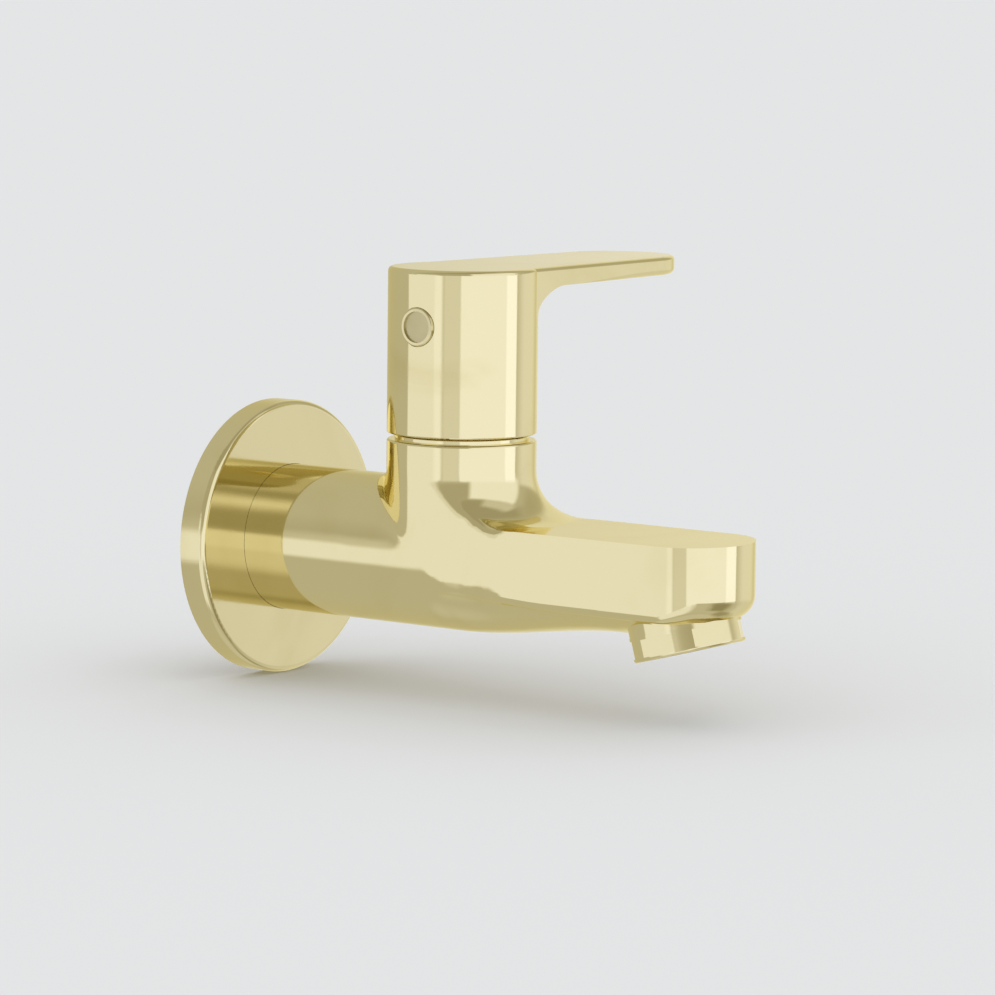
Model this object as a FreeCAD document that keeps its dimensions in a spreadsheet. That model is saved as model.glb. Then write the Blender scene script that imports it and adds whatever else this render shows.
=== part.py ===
import FreeCAD, Part
import math
import os

import Sketcher

# Wall-mounted bib tap with a quarter-turn lever.
# Frame: the origin is where the inlet axis meets the finished wall, +Z is up, the spout points
# along -Y and the threaded inlet goes into the wall along +Y.

doc = FreeCAD.newDocument("BibTap")
sheet = doc.addObject("Spreadsheet::Sheet", "Sizes")

# Driving dimensions in millimetres and degrees
SIZES = [
    ("barrel_radius", 16.0, "horizontal barrel between the flange and the neck"),
    ("shoulder_gap", 1.0, "barrel shoulder to the wall"),
    ("thread_radius", 10.478, "G1/2 male thread, half of 20.955"),
    ("thread_reach", 15.0, "how far the inlet goes into the wall"),
    ("thread_chamfer", 1.2, "lead-in at the end of the inlet"),
    ("inlet_bore", 6.5, "radius of the inlet bore"),
    ("flange_radius", 30.0, "wall flange"),
    ("flange_depth", 6.2, "wall to the flange's face"),
    ("flange_round", 1.3, "rounded front rim of the flange"),
    ("flange_wall", 1.6, "thickness of the flange's face"),
    ("flange_skirt", 2.0, "thickness of the flange's rim"),
    ("flange_collar", 2.6, "thickness of the collar round the barrel"),
    ("ring_groove", 1.5, "depth of the groove in the flange's collar"),
    ("neck_reach", 53.0, "wall to the valve axis"),
    ("neck_radius", 16.0, "vertical neck under the handle"),
    ("neck_top", 25.0, "inlet axis to the top of the neck"),
    ("neck_round", 0.5, "edge round on top of the neck"),
    ("root_fillet", 5.5, "fillet behind the neck"),
    ("root_slice", 15.2, "half-width over which that fillet is worked"),
    ("neck_fillet", 10.0, "fillet from the neck onto the spout"),
    ("spout_top", 8.4, "inlet axis to the flat top of the spout"),
    ("spout_reach", 125.5, "wall to the tip of the spout"),
    ("nose_reach", 113.0, "wall to the start of the rounded nose"),
    ("block_reach", 99.0, "wall to where the keel has levelled out"),
    ("spout_half", 14.1, "half-width of the spout at block_reach"),
    ("nose_half", 13.95, "half-width of the spout at nose_reach"),
    ("spout_flare", 0.35, "extra half-width of the spout towards the neck"),
    ("nose_corner", 11.6, "plan radius of the nose's corners"),
    ("spout_under", 7.7, "inlet axis down to the flat underside"),
    ("root_under", 6.3, "the same at the root of the spout"),
    ("root_start", 3.0, "valve axis to where the spout's root starts to change"),
    ("lift_run", 43.0, "length over which the keel rises to the spout's"),
    ("level_run", 30.0, "length over which the underside drops to the spout's"),
    ("barrel_under", 5.6, "where the underside leaves the barrel's flank"),
    ("side_round", 1.7, "round along the lower edge of the spout"),
    ("nose_round", 4.8, "round under the nose"),
    ("keel_rise", 3.8, "how far the keel rises from barrel to outlet"),
    ("keel_run", 12.0, "how far the keel runs on into the outlet boss"),
    ("keel_ease", 0.12, "slope of the keel over that run"),
    ("aerator_tilt", 15.7, "forward tilt of the outlet"),
    ("aerator_reach", 111.35, "wall to the centre of the outlet seat"),
    ("aerator_drop", 9.94, "inlet axis down to the outlet seat"),
    ("boss_radius", 11.7, "boss round the outlet socket"),
    ("boss_height", 5.0, "boss above the outlet seat"),
    ("socket_radius", 11.0, "threaded outlet socket, M22"),
    ("socket_depth", 8.0, "seat to the top of the socket"),
    ("outlet_port", 7.5, "radius of the port over the socket"),
    ("seat_level", 4.0, "inlet axis down to the valve seat"),
    ("seat_port", 5.0, "radius of the port under the valve"),
    ("valve_bore", 10.53, "radius of the bore for the headwork"),
    ("bore_stop", 34.5, "wall to the end of the inlet bore"),
    ("gallery_back", 25.5, "wall to the back of the passage under the seat"),
    ("gallery_width", 8.0, "width of the passage under the seat"),
    ("gallery_floor", 13.2, "inlet axis down to the passage's floor"),
    ("gallery_roof", 7.6, "inlet axis down to the passage's roof"),
    ("channel_width", 17.0, "width of the channel in the spout"),
    ("channel_roof", 5.6, "inlet axis up to the channel's roof"),
    ("channel_floor", 3.5, "inlet axis down to the channel's floor"),
    ("counterbore_radius", 11.7, "recess for the headwork's seal"),
    ("counterbore_depth", 1.3, "depth of that recess"),
    ("cut_over", 1.0, "how far a cut reaches past a face"),
    ("fit_gap", 0.05, "running and screwed fits, per side"),
    ("turn_gap", 0.3, "clear space between turning and fixed pieces"),
    ("seal_gap", 0.02, "seals, per side"),
    ("collar_radius", 12.0, "headwork's collar on the neck"),
    ("collar_height", 2.0, "height of that collar"),
    ("hex_flats", 20.0, "headwork's hexagon across flats"),
    ("hex_height", 6.0, "height of that hexagon"),
    ("crown_radius", 8.2, "stop crown on the headwork"),
    ("crown_height", 3.2, "height of the stop crown"),
    ("crown_bore", 6.7, "inner radius of the stop crown"),
    ("sleeve_radius", 8.6, "headwork's sleeve in the valve bore"),
    ("sleeve_bore", 7.1, "inner radius of that sleeve"),
    ("sleeve_gap", 0.6, "sleeve to the seat"),
    ("thread_start", 11.0, "inlet axis up to the headwork's thread"),
    ("sleeve_roof", 9.4, "inlet axis up to the roof inside the sleeve"),
    ("window_low", 2.4, "inlet axis up to the sleeve's windows"),
    ("window_high", 7.6, "inlet axis up to the top of the windows"),
    ("window_width", 9.0, "width of the sleeve's windows"),
    ("seal_outer", 6.95, "seat seal's outer radius"),
    ("seal_inner", 5.1, "seat seal's inner radius"),
    ("seal_height", 2.4, "seat seal's height"),
    ("disc_radius", 7.0, "fixed ceramic disc"),
    ("disc_thick", 3.0, "thickness of each ceramic disc"),
    ("moving_radius", 6.6, "moving ceramic disc"),
    ("disc_gap", 0.05, "running gap between the two discs"),
    ("port_radius", 5.0, "outer radius of the ports in the discs"),
    ("port_web", 1.1, "half the web between the two ports of a disc"),
    ("port_angle", 38.0, "half the angle that each port covers"),
    ("driver_radius", 6.6, "driver at the foot of the spindle"),
    ("driver_thick", 2.2, "thickness of the driver's plate"),
    ("driver_slot", 2.4, "width of the tongue between driver and disc"),
    ("tongue_height", 0.9, "height of that tongue"),
    ("tongue_half", 5.8, "half the length of that tongue"),
    ("shoulder_radius", 5.5, "shoulder on the spindle under the thrust washer"),
    ("stem_radius", 4.5, "spindle in the headwork"),
    ("ring_section", 1.2, "section of the spindle's seals"),
    ("ring_one", 15.0, "inlet axis up to the lower spindle seal"),
    ("ring_two", 19.5, "inlet axis up to the upper spindle seal"),
    ("washer_thick", 0.7, "thrust washer"),
    ("stop_radius", 6.3, "stop washer without its tab"),
    ("stop_thick", 1.4, "thickness of the stop washer"),
    ("stem_flats", 8.0, "spindle across the flats that carry the stop washer"),
    ("tab_angle", 40.0, "angle that the tab covers"),
    ("turn_angle", 90.0, "travel of the handle"),
    ("stop_slack", 3.0, "slack at each end of the travel"),
    ("clip_radius", 6.2, "circlip's outer radius"),
    ("clip_thick", 0.8, "circlip's thickness"),
    ("clip_groove", 3.7, "radius at the foot of the circlip's groove"),
    ("clip_mouth", 5.4, "width of the circlip's mouth"),
    ("spline_radius", 4.0, "over the teeth of the spindle's spline"),
    ("spline_root", 3.55, "between those teeth"),
    ("tooth_root", 7.5, "half the angle of a tooth at the spline's root"),
    ("tooth_tip", 4.0, "half the angle of a tooth at its tip"),
    ("spline_top", 54.5, "inlet axis up to the top of the spindle"),
    ("handle_base", 26.3, "inlet axis up to the handle's lower rim"),
    ("handle_radius", 16.0, "round body of the handle"),
    ("handle_wall", 2.8, "wall round the handle's hollow"),
    ("hollow_top", 39.5, "inlet axis up to the roof of the hollow"),
    ("handle_top", 61.7, "inlet axis up to the flat top of the handle"),
    ("lever_reach", 69.0, "valve axis to the lever's tip"),
    ("lever_root", 15.0, "half-width of the lever level with the valve axis"),
    ("lever_tip", 12.9, "radius of the lever's rounded tip"),
    ("lever_under", 57.6, "inlet axis up to the lever's underside"),
    ("lever_fillet", 6.5, "fillet between the round body and the lever's underside"),
    ("lever_round", 1.0, "round along the handle's upper edge"),
    ("under_start", 24.0, "valve axis to the start of the round under the lever"),
    ("under_full", 29.0, "valve axis to where that round is full"),
    ("under_fade", 0.1, "that round where it starts"),
    ("under_round", 1.4, "that round along the lever"),
    ("under_tip", 3.0, "that round at the tip"),
    ("handle_edge", 0.4, "round along the handle's lower edge"),
    ("insert_radius", 7.0, "splined insert in the handle"),
    ("insert_foot", 40.5, "inlet axis up to the insert's foot"),
    ("insert_height", 15.5, "height of the insert"),
    ("screw_level", 49.7, "inlet axis up to the grub screw"),
    ("screw_radius", 2.5, "M5 grub screw"),
    ("screw_tip", 4.1, "valve axis to the tip of the grub screw"),
    ("screw_point", 0.8, "chamfer at that tip"),
    ("screw_length", 7.2, "length of the grub screw"),
    ("screw_socket", 2.5, "hexagon socket across flats"),
    ("socket_sink", 2.6, "depth of that socket"),
    ("button_radius", 4.15, "index button"),
    ("button_face", 3.3, "recessed face of the button"),
    ("button_proud", 0.25, "how far the button stands proud"),
    ("button_seat", 0.8, "depth of the seat under its rim"),
    ("button_dish", 0.45, "depth of the recessed face"),
    ("button_edge", 0.35, "round on the button's rim"),
    ("button_plug", 3.4, "radius of the plug behind the button"),
    ("plug_length", 2.4, "length of that plug"),
    ("glide_inner", 12.3, "glide ring under the handle, inner radius"),
    ("glide_outer", 14.3, "glide ring under the handle, outer radius"),
    ("glide_height", 1.0, "height of the glide ring"),
    ("outlet_radius", 11.8, "aerator housing"),
    ("outlet_height", 5.2, "height of the housing under its seat"),
    ("outlet_flats", 22.3, "housing across its wrench flats"),
    ("flats_turn", 30.0, "turn of those flats about the outlet"),
    ("flat_low", 0.8, "lower rim of the housing to the flats"),
    ("flat_high", 0.7, "flats to the top of the housing"),
    ("outlet_round", 0.6, "round on the housing's lower rim"),
    ("screwed_height", 6.5, "screwed part of the housing"),
    ("housing_bore", 9.5, "inner radius of the housing"),
    ("housing_lip", 8.7, "radius inside the housing's lower lip"),
    ("lip_height", 1.0, "height of that lip"),
    ("grid_height", 1.3, "outlet grid"),
    ("grid_pitch", 2.6, "pitch of the grid's holes"),
    ("grid_hole", 1.9, "side of the grid's square holes"),
    ("core_height", 6.1, "mixing core of the aerator"),
    ("core_wall", 1.4, "wall of the core"),
    ("jet_height", 1.4, "jet plate"),
    ("jet_hole", 0.7, "radius of the jets"),
    ("jet_circle", 5.4, "radius of the circle of jets"),
    ("filter_height", 1.8, "domed filter"),
    ("filter_wall", 0.5, "wall of the filter"),
    ("seal_width", 2.6, "width of the aerator's seal"),
]

# Counts, and the shares of the spout's root over which its width and its edge change
ROOT_STEPS = 12
NARROW_SHARE = 0.35
CRISP_SHARE = 0.16
JET_COUNT = 12
TOOTH_COUNT = 20
GRID_COUNT = 5

# Points, levels or volumes that differ by less than this are the same
CLOSE = 1e-3


class Size:
    """A size kept twice: as a number and as the sheet formula that gives it."""

    def __init__(self, number, formula):
        self.number = number
        self.formula = formula

    def joined(self, other, sign, result):
        return Size(result, "(%s %s %s)" % (self.formula, sign, formula(other)))

    def __add__(self, other):
        return self.joined(other, "+", self.number + number(other))

    def __sub__(self, other):
        return self.joined(other, "-", self.number - number(other))

    def __mul__(self, other):
        return self.joined(other, "*", self.number * number(other))

    def __truediv__(self, other):
        return self.joined(other, "/", self.number / number(other))

    def __neg__(self):
        return Size(-self.number, "(-1 * %s)" % self.formula)


def number(item):
    return item.number if isinstance(item, Size) else float(item)


def formula(item):
    return item.formula if isinstance(item, Size) else "%.9f" % item


def root(item):
    return Size(math.sqrt(number(item)), "sqrt(%s)" % formula(item))


def sine(angle):
    return Size(math.sin(math.radians(number(angle))), "sin(%s * 1 deg)" % formula(angle))


def cosine(angle):
    return Size(math.cos(math.radians(number(angle))), "cos(%s * 1 deg)" % formula(angle))


def tangent(angle):
    return Size(math.tan(math.radians(number(angle))), "tan(%s * 1 deg)" % formula(angle))


class Dimensions:
    """The sheet's rows as attributes, such as d.neck_radius."""


d = Dimensions()
for row, (alias, value, note) in enumerate(SIZES, start=1):
    sheet.set("A%d" % row, "%g" % value)
    sheet.setAlias("A%d" % row, alias)
    sheet.set("B%d" % row, note)
    setattr(d, alias, Size(value, "Sizes." + alias))
doc.recompute()


def bind(item, path, size):
    item.setExpression(path, formula(size))


def origin_plane(body, role):
    for item in body.Origin.OriginFeatures:
        if item.Role == role:
            return item
    raise ValueError(role)


def new_body(name):
    body = doc.addObject("PartDesign::Body", name)
    body.Label = name
    return body


def new_sketch(body, name, role, lift=0.0):
    """A sketch on one of the body's own planes, lifted along that plane's normal."""
    sketch = body.newObject("Sketcher::SketchObject", name)
    sketch.AttachmentSupport = [(origin_plane(body, role), "")]
    sketch.MapMode = "FlatFace"
    bind(sketch, "AttachmentOffset.Base.z", lift)
    return sketch


def pin_point(sketch, geo, spot, x, y):
    """Tie one point of the sketch to its x and y sizes."""
    for kind, axis, size in (("DistanceX", -2, x), ("DistanceY", -1, y)):
        if abs(number(size)) < 1e-9:
            sketch.addConstraint(Sketcher.Constraint("PointOnObject", geo, spot, axis))
            continue
        row = sketch.addConstraint(Sketcher.Constraint(kind, -1, 1, geo, spot, number(size)))
        sketch.setExpression("Constraints[%d]" % row, formula(size))


def arc_between(start, end, radius):
    """Arc from start to end; a positive radius turns left, and the arc is under half a turn."""
    chord = end - start
    half = chord.Length / 2
    side = FreeCAD.Vector(-chord.y, chord.x, 0).normalize()
    height = math.sqrt(max(radius * radius - half * half, 0.0))
    centre = (start + end) * 0.5 + side * math.copysign(height, radius)
    circle = Part.Circle(centre, FreeCAD.Vector(0, 0, 1), abs(radius))
    first, last = (start, end) if radius > 0 else (end, start)
    angles = [math.atan2(p.y - centre.y, p.x - centre.x) for p in (first, last)]
    return Part.ArcOfCircle(circle, angles[0], angles[1])


def outline(sketch, corners):
    """Closed outline. A corner is (x, y), or (x, y, radius) where an arc leaves the corner."""
    points = [FreeCAD.Vector(number(c[0]), number(c[1]), 0) for c in corners]
    starts = []
    ends = []
    for index, corner in enumerate(corners):
        start = points[index]
        end = points[(index + 1) % len(corners)]
        if len(corner) == 3:
            geo = sketch.addGeometry(arc_between(start, end, number(corner[2])), False)
            turned_left = number(corner[2]) > 0
            starts.append((geo, 1 if turned_left else 2))
            ends.append((geo, 2 if turned_left else 1))
        else:
            geo = sketch.addGeometry(Part.LineSegment(start, end), False)
            starts.append((geo, 1))
            ends.append((geo, 2))
    for index, corner in enumerate(corners):
        before = ends[index - 1]
        here = starts[index]
        sketch.addConstraint(Sketcher.Constraint("Coincident", before[0], before[1], here[0], here[1]))
        pin_point(sketch, here[0], here[1], corner[0], corner[1])
    for index, corner in enumerate(corners):
        if len(corner) == 3:
            radius = corner[2] if number(corner[2]) > 0 else -corner[2]
            geo = starts[index][0]
            row = sketch.addConstraint(Sketcher.Constraint("Radius", geo, number(radius)))
            sketch.setExpression("Constraints[%d]" % row, formula(radius))


def round_outline(sketch, radius, x=0.0, y=0.0):
    centre = FreeCAD.Vector(number(x), number(y), 0)
    geo = sketch.addGeometry(Part.Circle(centre, FreeCAD.Vector(0, 0, 1), number(radius)), False)
    pin_point(sketch, geo, 3, x, y)
    row = sketch.addConstraint(Sketcher.Constraint("Radius", geo, number(radius)))
    sketch.setExpression("Constraints[%d]" % row, formula(radius))


def pad(body, sketch, length):
    feature = body.newObject("PartDesign::Pad", sketch.Name + "_pad")
    feature.Profile = sketch
    bind(feature, "Length", length)
    return feature


def pocket(body, sketch, length, along_normal=False):
    """Cut against the sketch's normal, or along it; the cut has to take something away."""
    doc.recompute()
    before = body.Shape.Volume
    feature = body.newObject("PartDesign::Pocket", sketch.Name + "_cut")
    feature.Profile = sketch
    feature.Reversed = along_normal
    bind(feature, "Length", length)
    doc.recompute()
    if body.Shape.Volume > before - CLOSE:
        raise ValueError(sketch.Name + " cuts nothing")
    return feature


def turn_profile(body, sketch, kind):
    feature = body.newObject("PartDesign::" + kind, sketch.Name + "_turn")
    feature.Profile = sketch
    feature.ReferenceAxis = (sketch, ["V_Axis"])
    feature.Angle = 360
    return feature


def turned(name, corners, place=None):
    """A turned piece: the corners are (radius, height) pairs round the body's own Z axis."""
    body = new_body(name)
    sketch = new_sketch(body, name + "_profile", "XZ_Plane")
    outline(sketch, corners)
    turn_profile(body, sketch, "Revolution")
    if place is not None:
        place(body)
    return body


def groove(body, name, corners):
    doc.recompute()
    before = body.Shape.Volume
    sketch = new_sketch(body, name, "XZ_Plane")
    outline(sketch, corners)
    turn_profile(body, sketch, "Groove")
    doc.recompute()
    if body.Shape.Volume > before - CLOSE:
        raise ValueError(name + " cuts nothing")


def edge_fillet(body, name, radius, wanted):
    """Round the edges of the body's last feature for which wanted(edge) is true."""
    doc.recompute()
    tip = body.Tip
    names = ["Edge%d" % (i + 1) for i, edge in enumerate(tip.Shape.Edges) if wanted(edge)]
    if not names:
        raise ValueError(name + " finds no edge")
    feature = body.newObject("PartDesign::Fillet", name)
    feature.Base = (tip, names)
    bind(feature, "Radius", radius)
    return feature


def on_valve_axis(item):
    bind(item, "Placement.Base.y", -d.neck_reach)


def on_inlet_axis(item):
    """Local Z becomes the distance out from the wall."""
    item.Placement = FreeCAD.Placement(FreeCAD.Vector(), FreeCAD.Rotation(FreeCAD.Vector(1, 0, 0), 90))


def on_outlet_axis(item):
    """Local origin on the outlet seat, local Z up along the tilted outlet."""
    turn = FreeCAD.Rotation(FreeCAD.Vector(-1, 0, 0), d.aerator_tilt.number)
    item.Placement = FreeCAD.Placement(FreeCAD.Vector(), turn)
    bind(item, "Placement.Rotation.Angle", d.aerator_tilt)
    bind(item, "Placement.Base.y", -d.aerator_reach)
    bind(item, "Placement.Base.z", -d.aerator_drop)


def smooth(value):
    t = min(max(value, 0.0), 1.0)
    return t * t * (3 - 2 * t)


def seal_ring(name, radius, height, section, place):
    """Ring of round section: radius is to the middle of the section."""
    body = new_body(name)
    sketch = new_sketch(body, name + "_section", "XZ_Plane")
    round_outline(sketch, section, radius, height)
    turn_profile(body, sketch, "Revolution")
    place(body)
    return body


def barrel_and_neck():
    """Barrel and neck: two equal cylinders that cross, with a rolling fillet behind the neck."""
    body = new_body("barrel_and_neck")
    on_valve_axis(body)
    barrel_length = d.neck_reach - d.shoulder_gap

    def cylinders(tag):
        across = new_sketch(body, "barrel_" + tag, "XZ_Plane", -barrel_length)
        round_outline(across, d.barrel_radius)
        pad(body, across, barrel_length)
        upright = new_sketch(body, "neck_" + tag, "XY_Plane")
        round_outline(upright, d.neck_radius)
        pad(body, upright, d.neck_top)

    cylinders("slice")
    far = d.neck_radius * 2
    for name, side in (("left", -1.0), ("right", 1.0)):
        cheek = new_sketch(body, "cheek_" + name, "XY_Plane", d.neck_top + 1)
        near = d.root_slice * side
        outline(cheek, [(near, -far), (far * side, -far), (far * side, d.neck_reach), (near, d.neck_reach)])
        pocket(body, cheek, d.neck_top + far)

    def behind_neck(edge):
        points = edge.discretize(5)
        on_neck = all(abs(math.hypot(p.x, p.y) - d.neck_radius.number) < CLOSE for p in points)
        on_barrel = all(abs(math.hypot(p.x, p.z) - d.barrel_radius.number) < CLOSE for p in points)
        return on_neck and on_barrel and points[2].y > 1

    edge_fillet(body, "root_blend", d.root_fillet, behind_neck)
    cylinders("whole")

    def on_top(edge):
        return all(abs(p.z - d.neck_top.number) < CLOSE for p in edge.discretize(5))

    edge_fillet(body, "neck_edge", d.neck_round, on_top)
    return body


def spout_section(body, index, fraction):
    """Cross-section of the spout's root; the fraction runs from the valve axis to the flat part."""
    run = (d.block_reach - d.neck_reach) * fraction
    distance = run.number
    narrow = smooth(fraction / NARROW_SHARE)
    crisp = smooth(fraction / CRISP_SHARE)
    lifted = smooth((distance - d.root_start.number) / d.lift_run.number)
    levelled = smooth((distance - d.root_start.number) / d.level_run.number)
    half = d.spout_half + d.spout_flare * (narrow * (1 - fraction))
    half = half + (d.neck_radius - d.spout_half) * (1 - narrow)
    flat = d.root_under + (d.spout_under - d.root_under) * levelled
    under = d.barrel_under * (1 - crisp) + flat * crisp
    flank = d.barrel_radius - root(d.barrel_radius * d.barrel_radius - d.barrel_under * d.barrel_under)
    inset = flank * (1 - crisp) + d.side_round * crisp
    shoulder = (under - d.side_round) * crisp
    keel = d.barrel_radius - d.keel_rise * lifted
    edge_radius = (inset * inset + (under - shoulder) * (under - shoulder)) / (inset * 2)
    chord = half - inset
    sag = keel - under
    keel_radius = (chord * chord + sag * sag) / (sag * 2)
    top = d.spout_top + d.neck_fillet
    sketch = new_sketch(body, "section_%d" % index, "XZ_Plane", run)
    outline(sketch, [
        (half, top),
        (-half, top),
        (-half, -shoulder, edge_radius),
        (-chord, -under, keel_radius),
        (0.0, -keel, keel_radius),
        (chord, -under, edge_radius),
        (half, -shoulder),
    ])
    return sketch


def spout_root():
    """Loft from the barrel's round to the spout, cut back round the neck to its hollow fillet."""
    body = new_body("spout_root")
    on_valve_axis(body)
    sections = [spout_section(body, i, i / ROOT_STEPS) for i in range(ROOT_STEPS + 1)]
    doc.recompute()
    loft = body.newObject("PartDesign::AdditiveLoft", "spout_loft")
    loft.Profile = sections[0]
    loft.Sections = sections[1:]
    outer = d.spout_reach
    top = d.spout_top + d.neck_fillet
    groove(body, "neck_hollow", [
        (d.neck_radius, top, d.neck_fillet),
        (d.neck_radius + d.neck_fillet, d.spout_top),
        (outer, d.spout_top),
        (outer, top + 2),
        (d.neck_radius, top + 2),
    ])
    return body


def nose_points(half, length, corner):
    """Oval nose of three tangent arcs: its large radius and where the arcs meet."""
    nose = (half * half + length * length - half * corner * 2) / ((length - corner) * 2)
    step_x = half - corner
    step_y = nose - length
    reach = nose / (nose - corner)
    return nose, step_x * reach, step_y * reach - (nose - length)


def spout_block():
    """The level end of the spout, with its rounded lower edge."""
    body = new_body("spout_block")
    sketch = new_sketch(body, "block_plan", "XY_Plane", -d.spout_under)
    length = d.spout_reach - d.nose_reach
    nose, meet_x, meet_y = nose_points(d.nose_half, length, d.nose_corner)
    meet = -(d.nose_reach + meet_y)
    outline(sketch, [
        (-d.spout_half, -d.block_reach),
        (-d.nose_half, -d.nose_reach, d.nose_corner),
        (-meet_x, meet, nose),
        (meet_x, meet, d.nose_corner),
        (d.nose_half, -d.nose_reach),
        (d.spout_half, -d.block_reach),
    ])
    pad(body, sketch, d.spout_top + d.spout_under)
    doc.recompute()

    rounded = doc.addObject("Part::Fillet", "spout_nose")
    rounded.Base = body
    edges = []
    for index, edge in enumerate(body.Shape.Edges, start=1):
        low = all(abs(v.Point.z + d.spout_under.number) < 1e-6 for v in edge.Vertexes)
        if not low or all(abs(v.Point.y + d.block_reach.number) < 1e-6 for v in edge.Vertexes):
            continue
        first = edge.valueAt(edge.FirstParameter)
        last = edge.valueAt(edge.LastParameter)
        radii = []
        for point in (first, last):
            at_nose = point.y < -d.nose_reach.number - 1.0
            radii.append(d.nose_round.number if at_nose else d.side_round.number)
        edges.append((index, radii[0], radii[1]))
    rounded.Edges = edges
    return rounded


def keel_end():
    """The keel runs on under the level part and ends inside the outlet boss."""
    body = new_body("keel_end")
    sketches = []
    chord = d.spout_half - d.side_round
    for index in range(3):
        span = d.keel_run * (index / 2)
        keel = d.barrel_radius - d.keel_rise - span * d.keel_ease
        sag = keel - d.spout_under
        keel_radius = (chord * chord + sag * sag) / (sag * 2)
        sketch = new_sketch(body, "keel_%d" % index, "XZ_Plane", d.block_reach + span)
        inside = -d.spout_under + d.side_round
        outline(sketch, [
            (-chord, inside),
            (-chord, -d.spout_under, keel_radius),
            (0.0, -keel, keel_radius),
            (chord, -d.spout_under),
            (chord, inside),
        ])
        sketches.append(sketch)
    doc.recompute()
    loft = body.newObject("PartDesign::AdditiveLoft", "keel_loft")
    loft.Profile = sketches[0]
    loft.Sections = sketches[1:]
    return body


def cylinder(name, radius, height, base=0.0, place=None):
    """A plain cylinder in a body of its own, from base up along local Z."""
    body = new_body(name)
    sketch = new_sketch(body, name + "_round", "XY_Plane", base)
    round_outline(sketch, radius)
    pad(body, sketch, height)
    if place is not None:
        place(body)
    return body


def side_slab(name, width, corners):
    """A slab across X with its outline given as (distance from the wall, height)."""
    body = new_body(name)
    sketch = new_sketch(body, name + "_side", "YZ_Plane", -(width / 2))
    outline(sketch, [(-corner[0], corner[1]) for corner in corners])
    pad(body, sketch, width)
    return body


def waterways():
    """Everything that is bored or cored out of the tap's body."""
    wall_cut = d.thread_reach + d.cut_over
    valve_front = d.neck_reach + d.seat_port
    valve_back = d.neck_reach - d.seat_port
    socket_end = d.aerator_reach + d.seat_port
    recess_foot = d.neck_top - d.counterbore_depth
    cuts = [
        cylinder("inlet_way", d.inlet_bore, wall_cut + d.bore_stop, -wall_cut, on_inlet_axis),
        side_slab("seat_way", d.gallery_width, [
            (d.gallery_back, 0.0),
            (d.bore_stop, 0.0),
            (valve_back - d.cut_over, -d.gallery_roof),
            (valve_front, -d.gallery_roof),
            (valve_front, -d.gallery_floor),
            (valve_back - d.seat_port, -d.gallery_floor),
            (d.gallery_back, -d.inlet_bore + d.cut_over),
        ]),
        cylinder("seat_hole", d.seat_port, d.gallery_floor - d.seat_level + d.cut_over,
                 -d.gallery_floor, on_valve_axis),
        cylinder("valve_way", d.valve_bore, d.neck_top + d.seat_level + d.cut_over,
                 -d.seat_level, on_valve_axis),
        cylinder("seal_recess", d.counterbore_radius, d.counterbore_depth + d.cut_over,
                 recess_foot, on_valve_axis),
        side_slab("spout_way", d.channel_width, [
            (valve_front, d.channel_roof),
            (socket_end, d.channel_roof),
            (socket_end, 0.0),
            (d.block_reach, -d.channel_floor),
            (valve_front, -d.channel_floor),
        ]),
        cylinder("outlet_socket", d.socket_radius, d.socket_depth + d.boss_height,
                 -d.boss_height, on_outlet_axis),
        cylinder("outlet_hole", d.outlet_port, d.boss_height, d.socket_depth - d.cut_over, on_outlet_axis),
    ]
    joined = doc.addObject("Part::MultiFuse", "waterways")
    joined.Shapes = cuts
    return joined


def tap_body():
    """Cast and machined body: inlet thread, barrel, neck, spout and outlet boss in one piece."""
    thread = turned("inlet_thread", [
        (0.0, -d.thread_reach),
        (d.thread_radius - d.thread_chamfer, -d.thread_reach),
        (d.thread_radius, -d.thread_reach + d.thread_chamfer),
        (d.thread_radius, d.shoulder_gap + 2),
        (0.0, d.shoulder_gap + 2),
    ], on_inlet_axis)
    boss = cylinder("outlet_boss", d.boss_radius, d.boss_height, 0.0, on_outlet_axis)
    whole = barrel_and_neck()
    for index, piece in enumerate([spout_root(), spout_block(), keel_end(), thread, boss]):
        joined = doc.addObject("Part::Fuse", "casting_%d" % index)
        joined.Base = whole
        joined.Tool = piece
        whole = joined
    clear = cylinder("outlet_clearance", d.boss_radius + d.cut_over, d.boss_radius, -d.boss_radius,
                     on_outlet_axis)
    faced = doc.addObject("Part::Cut", "faced_casting")
    faced.Base = whole
    faced.Tool = clear
    bored = doc.addObject("Part::Cut", "tap_body")
    bored.Base = faced
    bored.Tool = waterways()
    bored.Label = "tap_body"
    return bored


def wall_flange():
    """Spun flange: a face, a rim back to the wall and a collar that slides on the barrel."""
    bore = d.barrel_radius + d.fit_gap
    collar = bore + d.flange_collar
    rim_inner = d.flange_radius - d.flange_skirt
    back = d.flange_depth - d.flange_wall
    middle = (d.flange_depth + d.shoulder_gap) / 2
    half = d.ring_groove / 2 + d.seal_gap
    return turned("wall_flange", [
        (bore, d.shoulder_gap),
        (collar, d.shoulder_gap),
        (collar, back),
        (rim_inner, back),
        (rim_inner, 0.0),
        (d.flange_radius, 0.0),
        (d.flange_radius, d.flange_depth - d.flange_round, d.flange_round),
        (d.flange_radius - d.flange_round, d.flange_depth),
        (bore, d.flange_depth),
        (bore, middle + half),
        (bore + d.ring_groove, middle + half),
        (bore + d.ring_groove, middle - half),
        (bore, middle - half),
    ], on_inlet_axis)


def flange_seal_ring():
    """Rubber ring in the flange's collar that holds the flange on the barrel."""
    section = (d.ring_groove + d.fit_gap) / 2 - d.seal_gap
    middle = (d.flange_depth + d.shoulder_gap) / 2
    radius = d.barrel_radius + section + d.seal_gap
    return seal_ring("flange_seal_ring", radius, middle, section, on_inlet_axis)


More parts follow.
